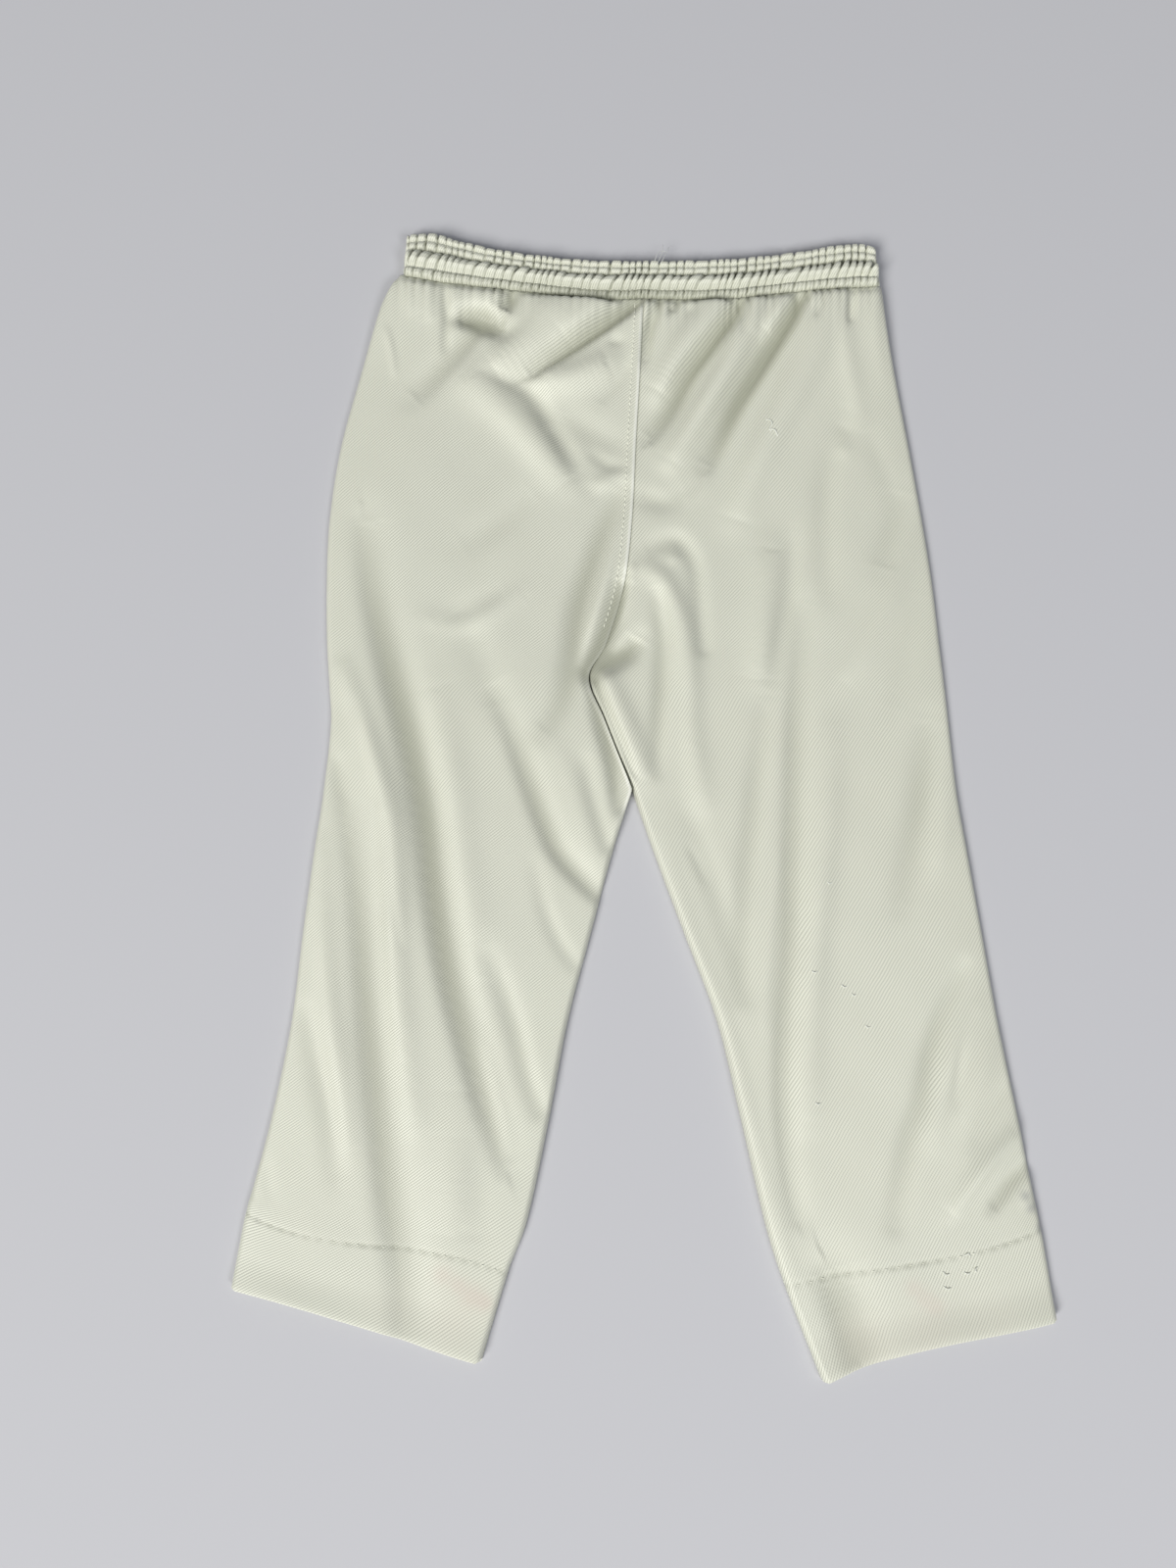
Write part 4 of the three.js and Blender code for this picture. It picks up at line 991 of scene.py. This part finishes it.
def casing_columns(side):
    """x of the columns from the casing's outer end to the centre seam, and how far each has turned up."""
    outer = CASING_ENDS[side]
    inward = -np.sign(outer)
    length = abs(outer) - JOIN
    angle = np.linspace(0, np.pi / 2, ROLL_STEPS, endpoint=False)
    level = np.linspace(0, 1, int(round(length / CASING_STEP)) + 1)
    x = np.concatenate([outer + inward * EDGE_ROLL * (1 - np.cos(angle)),
                        outer + inward * (EDGE_ROLL + (length - EDGE_ROLL) * level)])
    return x, np.concatenate([np.sin(angle), np.ones_like(level)]), outer


def casing_plan(x, share, outer):
    """Rows run from the top edge (share 0) to the seam (share 1), and both ends lean in towards the top."""
    lean = -np.sign(outer) * END_LEAN * (1 - share) * (x / outer)
    seam, top = waist_at(SEAM_Y, x) + JOIN, waist_at(TOP_Y, x)
    return x + lean, top * (1 - share) + seam * share


print("the casing is", CASING_ENDS["right"] - CASING_ENDS["left"], "mm long")

# %% Build the casing
CASING_FLOOR = 2.4
CASING_BASE = CASING_FLOOR + SEAM_GAP
CASING_LIP = 0.9
CASING_FULLNESS = 1.45
CASING_FINE_ROWS, CASING_COARSE_ROWS = 64, 8


def casing_back(side):
    """The upper layer: its skin stands on a flat base, and rises from a low lip at its outer end."""
    x, turn, outer = casing_columns(side)
    share = np.linspace(0, 1, CASING_FINE_ROWS + 1)[:, None]
    height, jut, painted_shade = casing_height(x[None, :], share)
    rise = CASING_LIP + (height - CASING_LIP) * turn[None, :]
    px, py = casing_plan(x[None, :], share, outer)
    skin = np.stack([px, py + jut, CASING_BASE + rise], -1)
    inside = np.stack([px, py + jut, CASING_BASE + 0 * rise], -1)
    uv = np.stack([px * CASING_FULLNESS, py], -1)
    return closed_shell(f"casing_back_{side}", skin, inside, uv, side == "right", {"painted_shade": painted_shade})


def casing_front(side):
    """The lower layer: flat on both faces, with the same outline."""
    outer = CASING_ENDS[side]
    count = int(abs(outer) / (2 * CASING_STEP))
    x = np.linspace(outer, np.sign(outer) * JOIN, count + 1)[None, :]
    share = np.linspace(0, 1, CASING_COARSE_ROWS + 1)[:, None]
    px, py = casing_plan(x, share, outer)
    skin = np.stack([px, py, CASING_FLOOR + 0 * px], -1)
    under = np.stack([px, py, 0 * px], -1)
    uv = np.stack([px * CASING_FULLNESS, py], -1)
    return closed_shell(f"casing_front_{side}", skin, under, uv, side == "right")


casings = {side: casing_back(side) for side in LEGS}
lower_casings = {side: casing_front(side) for side in LEGS}
for piece in [*casings.values(), *lower_casings.values()]:
    print(piece.name, len(piece.data.polygons) * 2, "triangles")

# %% [markdown]
# ## Threads
#
# Stitches, pulled loops and loose ends are all round threads. A curve object with a bevel would do for one
# of them. There are hundreds, so one function carries a circle along many short paths at once. The paths are
# an array (threads, points, 3), and each tube ends in a cap.

# %% Tubes along many paths
THREAD_SIDES = 6


def threads(name, paths, radius):
    """Circle points centre + radius (cos a side + sin a upward), with side = tangent x up. All the paths
    are worked out at once."""
    paths = np.asarray(paths, float)
    count, points = paths.shape[:2]
    tangent = np.gradient(paths, axis=1)
    tangent = tangent / np.linalg.norm(tangent, axis=-1, keepdims=True)
    side = np.cross(tangent, [0.0, 0.0, 1.0])
    side = side / np.maximum(np.linalg.norm(side, axis=-1, keepdims=True), 1e-6)
    upward = np.cross(side, tangent)
    turn = np.linspace(0, 2 * np.pi, THREAD_SIDES, endpoint=False)[:, None]
    rings = paths[:, :, None] + radius * (np.cos(turn) * side[:, :, None] + np.sin(turn) * upward[:, :, None])
    number = np.arange(count * points * THREAD_SIDES).reshape(count, points, THREAD_SIDES)
    after = np.roll(number, -1, axis=2)
    walls = np.stack([number[:, :-1], after[:, :-1], after[:, 1:], number[:, 1:]], -1).reshape(-1, 4)
    caps = [*number[:, 0, ::-1].tolist(), *number[:, -1].tolist()]
    return new_piece(name, rings.reshape(-1, 3), walls.tolist() + caps)


print("a thread is a tube with", THREAD_SIDES, "sides")

# %% [markdown]
# ## The sewing
#
# A felled seam is sewn twice, so a row of topstitches follows the centre seam on the side where the allowance
# lies. The hems are blind-stitched: only tiny picks of thread show. The casing has a row of stitches in each
# of its three inner valleys. A dashed line in the colour would look printed from close by, so every stitch
# is a low arch of thread whose ends dip into the cloth.

# %% Stitches on the panels
ARCH = np.array([-0.20, 0.12, 0.12, -0.20])
ALONG_STITCH = np.linspace(-0.5, 0.5, len(ARCH))
TOPSTITCH_FROM_SEAM, TOPSTITCH_PITCH, TOPSTITCH_LENGTH = 4.6, 3.1, 2.3
PICK_PITCH, PICK_LENGTH = 6.5, 1.3


def seam_stitches():
    """Stitches at even distances down the centre seam, read back from distance to row number."""
    at, down = spaced_rows(LEFT_SECTIONS, ROW_PITCHES)
    end = np.interp(SECTION_NAMES.index("rise_end"), at, down) - 2 * TOPSTITCH_PITCH
    middle = np.arange(TOPSTITCH_PITCH, end - TOPSTITCH_PITCH, TOPSTITCH_PITCH)
    where = np.interp(middle[:, None] + TOPSTITCH_LENGTH * ALONG_STITCH, down, at)
    path = skin_point("left", TOPSTITCH_FROM_SEAM, where)
    path[..., 2] += ARCH
    return path


def hem_picks(side):
    """Picks across the hem line, whose distance from the inner side grows evenly."""
    width = float(leg_width(LEGS[side]["sections"], HEM_STITCH))
    middle = np.arange(PICK_PITCH, width - PICK_PITCH, PICK_PITCH)
    path = skin_point(side, middle[:, None] + PICK_LENGTH * ALONG_STITCH, np.full((1, 1), float(HEM_STITCH)))
    path[..., 2] += ARCH
    return path


sewing = {"seam_topstitches": seam_stitches()}
print("stitches along the seam:", len(sewing["seam_topstitches"]))

# %% Stitches on the casing, and all the sewing thread
THREAD_RADIUS = 0.24
CASING_STITCH_PITCH, CASING_STITCH_LENGTH = 2.6, 1.9
CASING_STITCH_FROM, CASING_STITCH_SHORT_OF = 5.0, 3.0


def casing_stitches(side):
    """Stitches along each of the casing's three inner valleys."""
    outer = CASING_ENDS[side]
    reach = np.arange(CASING_STITCH_FROM, abs(outer) - CASING_STITCH_SHORT_OF, CASING_STITCH_PITCH)
    x = np.sign(outer) * reach[:, None] + CASING_STITCH_LENGTH * ALONG_STITCH
    paths = []
    for row in STITCH_ROWS[:3, 0]:
        px, py = casing_plan(x, row, outer)
        height, jut, depth = casing_height(x, row)
        paths.append(np.stack([px, py + jut, CASING_BASE + height + ARCH], -1))
    return np.concatenate(paths)


for side in LEGS:
    sewing[f"hem_picks_{side}"] = hem_picks(side)
    sewing[f"casing_stitches_{side}"] = casing_stitches(side)
stitching = {name: threads(name, paths, THREAD_RADIUS) for name, paths in sewing.items()}
print({name: len(paths) for name, paths in sewing.items()})

# %% [markdown]
# ## Pulled loops and loose ends
#
# The knit has caught on things: a few loops are pulled out on the seat and the right leg, and most of them
# lie by the right hem. Three ends of thread stick out over the casing. A particle system would strew them
# anywhere, so each is a thread along a curve through a few points, in the place where it belongs.

# %% Pulled loops
YARN_RADIUS, YARN_SUNK = 0.2, 0.1
YARN_POINTS, YARN_STEP = 12, 0.1
# each loop is how high its middle stands off the cloth, and its path in plan
PULLED_LOOPS = [
    (0.7, [(64.8, -70.5), (66.8, -71.2), (67.9, -73.7), (66.4, -76.0), (67.6, -77.4)]),
    (0.6, [(67.2, -76.2), (69.4, -77.0), (71.0, -79.8)]),
    (0.9, [(160.6, -506.2), (162.2, -505.0), (163.4, -506.8)]),
    (0.9, [(167.0, -511.6), (165.4, -512.8), (166.6, -514.2)]),
    (0.8, [(163.4, -514.0), (161.8, -515.0), (160.2, -514.2)]),
    (0.8, [(153.2, -521.7), (151.2, -522.4), (149.6, -521.2)]),
    (0.9, [(149.4, -514.0), (150.6, -515.6), (152.6, -514.8)]),
    (0.5, [(85.0, -363.1), (86.6, -363.8), (87.8, -363.0)]),
    (0.5, [(100.6, -370.2), (101.9, -371.4), (103.4, -371.0)]),
    (0.5, [(105.7, -374.7), (107.0, -375.8), (108.2, -375.0)]),
    (0.5, [(112.5, -390.8), (113.6, -392.0), (115.2, -391.6)]),
    (0.5, [(85.9, -429.7), (87.2, -430.6), (88.6, -430.0)]),
    (0.4, [(93.9, -317.4), (95.0, -318.2), (96.4, -317.6)]),
]


def height_near(piece, points):
    """Height of the nearest point of a piece's upper skin, in millimetres over the surface."""
    corners = np.zeros(len(piece.data.vertices) * 3, np.float32)
    piece.data.vertices.foreach_get("co", corners)
    skin = corners.reshape(-1, 3)[:len(piece.data.vertices) // 2] / MM - PLACE
    squared = ((points[:, None, :2] - skin[None, :, :2]) ** 2).sum(-1)
    return skin[squared.argmin(1), 2]


def yarn_curve(points, step):
    """The smooth curve through a few points in plan, read at YARN_POINTS places, and each place's share."""
    curve = curve_through(points, step)
    last = curve.shape[1] - 1
    pick = np.linspace(0, last, YARN_POINTS).astype(int)
    return curve[:, pick].T, pick / last


def loop_path(rise, points):
    """An arch of half a sine over the cloth, with both ends just under its surface."""
    curve, share = yarn_curve(points, YARN_STEP)
    arch = rise * np.sin(np.linspace(0, np.pi, YARN_POINTS))
    height = height_near(backs["right"], curve) - YARN_SUNK + arch
    return np.concatenate([curve, height[:, None]], 1)


loops = threads("pulled_loops", [loop_path(rise, points) for rise, points in PULLED_LOOPS], YARN_RADIUS)
print("pulled loops:", len(PULLED_LOOPS))

# %% Loose ends over the casing
LOOSE_RADIUS = 0.13
LOOSE_ENDS = [
    [(7.0, 16.5, 10.4), (8.6, 20.0, 10.8), (10.2, 25.1, 8.6), (10.6, 30.7, 5.0)],
    [(9.0, 17.0, 10.4), (10.8, 20.6, 10.2), (12.6, 25.2, 7.8), (13.8, 29.0, 5.2)],
    [(5.8, 18.6, 10.6), (7.3, 22.8, 10.0), (9.2, 25.4, 8.0), (12.4, 26.0, 6.4)],
]


def loose_path(points):
    """A smooth curve in plan, whose height goes evenly from point to point."""
    points = np.array(points)
    curve, share = yarn_curve(points[:, :2], 2 * YARN_STEP)
    height = np.interp(share, np.linspace(0, 1, len(points)), points[:, 2])
    return np.concatenate([curve, height[:, None]], 1)


loose_ends = threads("loose_ends", [loose_path(points) for points in LOOSE_ENDS], LOOSE_RADIUS)
print("loose ends:", len(LOOSE_ENDS))

# %% [markdown]
# ## Shader maths as Python
#
# A pattern could be drawn as boxes and wires in the node editor. Here a small class wraps a socket, so that
# sums and products of masks read as ordinary expressions, and each of them adds its Math node. Any other
# node comes from one function.

# %% Wrap a socket
class Value:
    """A number or colour that a node gives. + - * and ** add Math nodes to the same material."""

    def __init__(self, tree, socket):
        self.tree, self.socket = tree, socket

    def math(self, operation, *values):
        """One Math node on these values or numbers."""
        return add_node(self.tree, "ShaderNodeMath", {"operation": operation}, dict(enumerate(values)))

    def __add__(self, other):
        return self.math("ADD", self, other)

    def __radd__(self, other):
        return self.math("ADD", other, self)

    def __sub__(self, other):
        return self.math("SUBTRACT", self, other)

    def __rsub__(self, other):
        return self.math("SUBTRACT", other, self)

    def __mul__(self, other):
        return self.math("MULTIPLY", self, other)

    def __rmul__(self, other):
        return self.math("MULTIPLY", other, self)

    def __pow__(self, other):
        return self.math("POWER", self, other)

    def sin(self):
        """The sine of the value, in radians."""
        return self.math("SINE", self)

    def absolute(self):
        """The value without its sign."""
        return self.math("ABSOLUTE", self)


print("a wrapped socket understands + - * and **")

# %% Add nodes and start a material
def set_inputs(tree, node, inputs):
    """Links or sets each input, by its name or number."""
    for key, value in inputs.items():
        if isinstance(value, Value):
            tree.links.new(value.socket, node.inputs[key])
        else:
            node.inputs[key].default_value = value


def add_node(tree, kind, settings, inputs, output=0):
    """Adds a node, makes its settings first, then sets its inputs, and wraps one of its outputs."""
    node = tree.nodes.new(kind)
    for key, value in settings.items():
        setattr(node, key, value)
    set_inputs(tree, node, inputs)
    return Value(tree, node.outputs[output])


def new_material(name):
    """A material, its node tree and its Principled shader."""
    material = bpy.data.materials.new(name)
    material.use_nodes = True
    tree = material.node_tree
    return material, tree, tree.nodes["Principled BSDF"]


def noise(tree, place, scale, detail):
    """Soft random values, scale of them to a metre."""
    return add_node(tree, "ShaderNodeTexNoise", {}, {"Vector": place, "Scale": scale, "Detail": detail})


def mix(tree, share, under, over):
    """Colour under, going over to the other colour as the share goes from 0 to 1."""
    return add_node(tree, "ShaderNodeMix", {"data_type": "RGBA"}, {0: share, 6: under, 7: over}, output=2)


def mark(tree, name):
    """One of the numbers kept on the skin's points."""
    return add_node(tree, "ShaderNodeAttribute", {"attribute_name": name}, {}, output=2)


print("shader helpers ready")

# %% [markdown]
# ## The twill knit
#
# The cloth is a cream polyester knit with a diagonal rib a little over a millimetre wide. A picture of cloth
# would have to be tiled and stretched. A rib is only the sine of a position measured across the diagonal, so
# it needs the two directions of the UV map and nothing else. The grooves between the ribs get painted shade,
# darker and greyer than the ribs, and short loops break each rib along its length.
#
# Soft tints lie over the weave: faint warm clouds, a painted highlight along the pressed ridge of the seam,
# painted shade down in the creases, slits and stitched valleys, pinkish stains and grey smudges. All but the
# clouds come from the numbers kept on a shell's points.

# %% The weave
RIB_PITCH, LOOP_PITCH = 1.35 * MM, 1.1 * MM
WANDER_SCALE, RIB_WANDER, LOOP_WANDER = 60.0, 0.8, 1.2


def twill_weave(tree, uv, slant):
    """Ribs |sin(pi across / pitch)| ^ 0.7 that climb at slant degrees, and loops as a sine along them. Both
    go from 0 to 1."""
    u, v = (add_node(tree, "ShaderNodeSeparateXYZ", {}, {0: uv}, output=k) for k in (0, 1))
    wander = noise(tree, uv, WANDER_SCALE, 1.0)
    sine, cosine = math.sin(math.radians(slant)), math.cos(math.radians(slant))
    across = (u * sine - v * cosine) * (1 / RIB_PITCH) + wander * RIB_WANDER
    lengthwise = (u * cosine + v * sine) * (1 / LOOP_PITCH) + wander * LOOP_WANDER
    rib = (across * math.pi).sin().absolute() ** 0.7
    return rib, (lengthwise * (2 * math.pi)).sin() * 0.5 + 0.5


print("ribs in a centimetre:", round(0.01 / RIB_PITCH, 1))

# %% Cream twill
RIB_DEPTH = 0.19 * MM
CREAM = (0.78, 0.795, 0.68, 1)
# The groove colour is painted shade: the weave's grooves are painted darker where shade falls between the
# ribs.
GROOVE_SHADE = (0.38, 0.395, 0.33, 1)
WARM, WARM_SHARE = (0.71, 0.69, 0.56, 1), 0.22
# A painted highlight: the paler colour painted along the pressed ridge of the seam.
SEAM_HIGHLIGHT, SEAM_HIGHLIGHT_SHARE = (0.93, 0.94, 0.86, 1), 0.75
# Painted shade: the darker cream painted in creases, slits and stitched valleys.
PAINTED_SHADE_COLOUR = (0.29, 0.30, 0.225, 1)
PINKISH = (0.66, 0.58, 0.50, 1)
GREY, GREY_SHARE = (0.30, 0.31, 0.31, 1), 0.55
FUZZ_SCALE, CLOUD_SCALE = 2600.0, 14.0


def twill_material(name, slant, shade):
    """Cream twill whose ribs climb at slant degrees. shade is how strongly the painted shade darkens the
    deepest creases.
    """
    material, tree, shader = new_material(name)
    uv = add_node(tree, "ShaderNodeUVMap", {"uv_map": "cloth"}, {})
    rib, loops = twill_weave(tree, uv, slant)
    clouds = noise(tree, uv, CLOUD_SCALE, 3.0)
    # The weave's pattern, with its grooves painted darker as shade.
    tint = mix(tree, rib * 0.75 + loops * 0.15 + 0.1, GROOVE_SHADE, CREAM)
    # Over the weave: warm clouds, a painted highlight on the seam's pressed ridge, painted shade in creases,
    # slits and valleys, then stains and smudges.
    for share, colour in [(clouds * WARM_SHARE, WARM), (mark(tree, "pressed") * SEAM_HIGHLIGHT_SHARE, SEAM_HIGHLIGHT),
                          (mark(tree, "painted_shade") * shade, PAINTED_SHADE_COLOUR), (mark(tree, "stain") * clouds, PINKISH),
                          (mark(tree, "smudge") * GREY_SHARE, GREY)]:
        tint = mix(tree, share, tint, colour)
    height = rib * 0.8 + loops * 0.12 + noise(tree, uv, FUZZ_SCALE, 2.0) * 0.25
    relief = add_node(tree, "ShaderNodeBump", {}, {"Height": height, "Distance": RIB_DEPTH, "Strength": 0.9})
    set_inputs(tree, shader, {"Base Color": tint, "Normal": relief, "Roughness": 0.56 - rib * 0.1,
                              "Sheen Weight": 0.22, "Sheen Roughness": 0.4, "Specular IOR Level": 0.6})
    return material


# How strongly the painted shade darkens the legs' creases and the casing's slits and valleys.
LEG_SHADE, CASING_SHADE = 0.75, 0.95
twills = {"left": twill_material("cream_twill_left", 43, LEG_SHADE),
          "right": twill_material("cream_twill_right", 50, LEG_SHADE)}
gathered = twill_material("cream_twill_gathered", 45, CASING_SHADE)
print("materials:", [m.name for m in bpy.data.materials])

# %% [markdown]
# ## Thread
#
# Sewing thread and pulled yarn are far too thin to show a pattern of their own. So each is one plain colour,
# a little brighter than the cloth, with a soft sheen.

# %% Sewing thread and pulled yarn
def thread_material(name, colour):
    """One colour on a rough, slightly sheeny yarn."""
    material, tree, shader = new_material(name)
    set_inputs(tree, shader, {"Base Color": colour, "Roughness": 0.6, "Sheen Weight": 0.2})
    return material


sewing_thread = thread_material("sewing_thread", (0.80, 0.81, 0.70, 1))
pulled_thread = thread_material("pulled_thread", (0.86, 0.88, 0.82, 1))
print("threads:", sewing_thread.name, pulled_thread.name)

# %% [markdown]
# ## Put the pieces on the frame
#
# Every shell stands for the imported solid of its own piece, which it hides, and rides on the one rigid body.
# The threads could be pieces by themselves. They ride on the same body.

# %% How a shell and a thread are put on the frame
def declare(piece, node, material):
    """Gives a shell its cloth and its body, and hides the solid that it stands for."""
    piece.data.materials.append(material)
    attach(piece, "root")
    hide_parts(node)


def sew_on(piece, material):
    """Gives thread its look and its body. It stands for no solid of its own."""
    piece.data.materials.append(material)
    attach(piece, "root")


print("pieces of sewing thread:", len(stitching))

# %% Put every piece on the frame
for piece in stitching.values():
    sew_on(piece, sewing_thread)
for piece in (loops, loose_ends):
    sew_on(piece, pulled_thread)

for side in LEGS:
    twill = twills[side]
    declare(backs[side], f"back_panel_{side}", twill)
    declare(fronts[side], f"front_panel_{side}", twill)
    declare(casings[side], f"waistband_back_{side}", gathered)
    declare(lower_casings[side], f"waistband_front_{side}", gathered)

# %% [markdown]
# ## Floor, light and camera
#
# The garment lies on a plain, cool, pale sheet. Light from straight above would hide the creases. So a large,
# soft, far light stands at the lower left, and a weaker and smaller one at the lower right only opens up the
# shadows. The room adds a little cool light from all round. The camera looks almost straight down.

# %% Floor
HALF_FLOOR = 2.0 / MM
corners = np.array([[-1, -1, 0], [1, -1, 0], [1, 1, 0], [-1, 1, 0]]) * HALF_FLOOR
floor = new_piece("floor", corners - PLACE, [(0, 1, 2, 3)])
floor_material, tree, shader = new_material("pale_floor")
set_inputs(tree, shader, {"Base Color": (0.548, 0.551, 0.578, 1), "Roughness": 0.9})
floor.data.materials.append(floor_material)
print("floor is", round(2 * HALF_FLOOR * MM, 1), "m wide")

# %% Lights
ROOM_COLOUR, ROOM_STRENGTH = (0.86, 0.90, 1.0, 1), 0.18


def area_light(name, place, size, power, colour):
    """A round soft light of so many metres and watts, turned to face the middle of the garment."""
    data = bpy.data.lights.new(name, "AREA")
    data.shape, data.size, data.energy, data.color = "DISK", size, power, colour
    light = bpy.data.objects.new(name, data)
    bpy.context.scene.collection.objects.link(light)
    light.location = place
    light.rotation_euler = (-Vector(place)).to_track_quat("-Z", "Y").to_euler()


area_light("key_left", (-3.00, -3.40, 4.50), 3.0, 371, (1.0, 0.985, 0.95))
area_light("key_right", (2.00, -2.20, 3.40), 1.6, 61, (0.985, 0.99, 1.0))
world = bpy.data.worlds.new("room")
world.use_nodes = True
background = world.node_tree.nodes["Background"]
set_inputs(world.node_tree, background, {"Color": ROOM_COLOUR, "Strength": ROOM_STRENGTH})
bpy.context.scene.world = world
bpy.context.scene.view_settings.view_transform = "Standard"
print("lights:", [light.name for light in bpy.data.lights])

# %% Camera
LENS, SENSOR = 27.05, 36
VIEW_HEIGHT = 622.7
TILT = math.radians(5.0)
LOOK_X, LOOK_Y = -30.4, -265.5
camera_data = bpy.data.cameras.new("camera")
camera_data.lens, camera_data.sensor_width = LENS, SENSOR
camera = bpy.data.objects.new("camera", camera_data)
bpy.context.scene.collection.objects.link(camera)
back_off = VIEW_HEIGHT * math.tan(TILT)
camera.location = ((LOOK_X + SEAM_X) * MM, (LOOK_Y + WAIST_Y - back_off) * MM, VIEW_HEIGHT * MM)
camera.rotation_euler = (TILT, 0, 0)
bpy.context.scene.camera = camera
print("camera at, mm:", [round(c / MM) for c in camera.location])
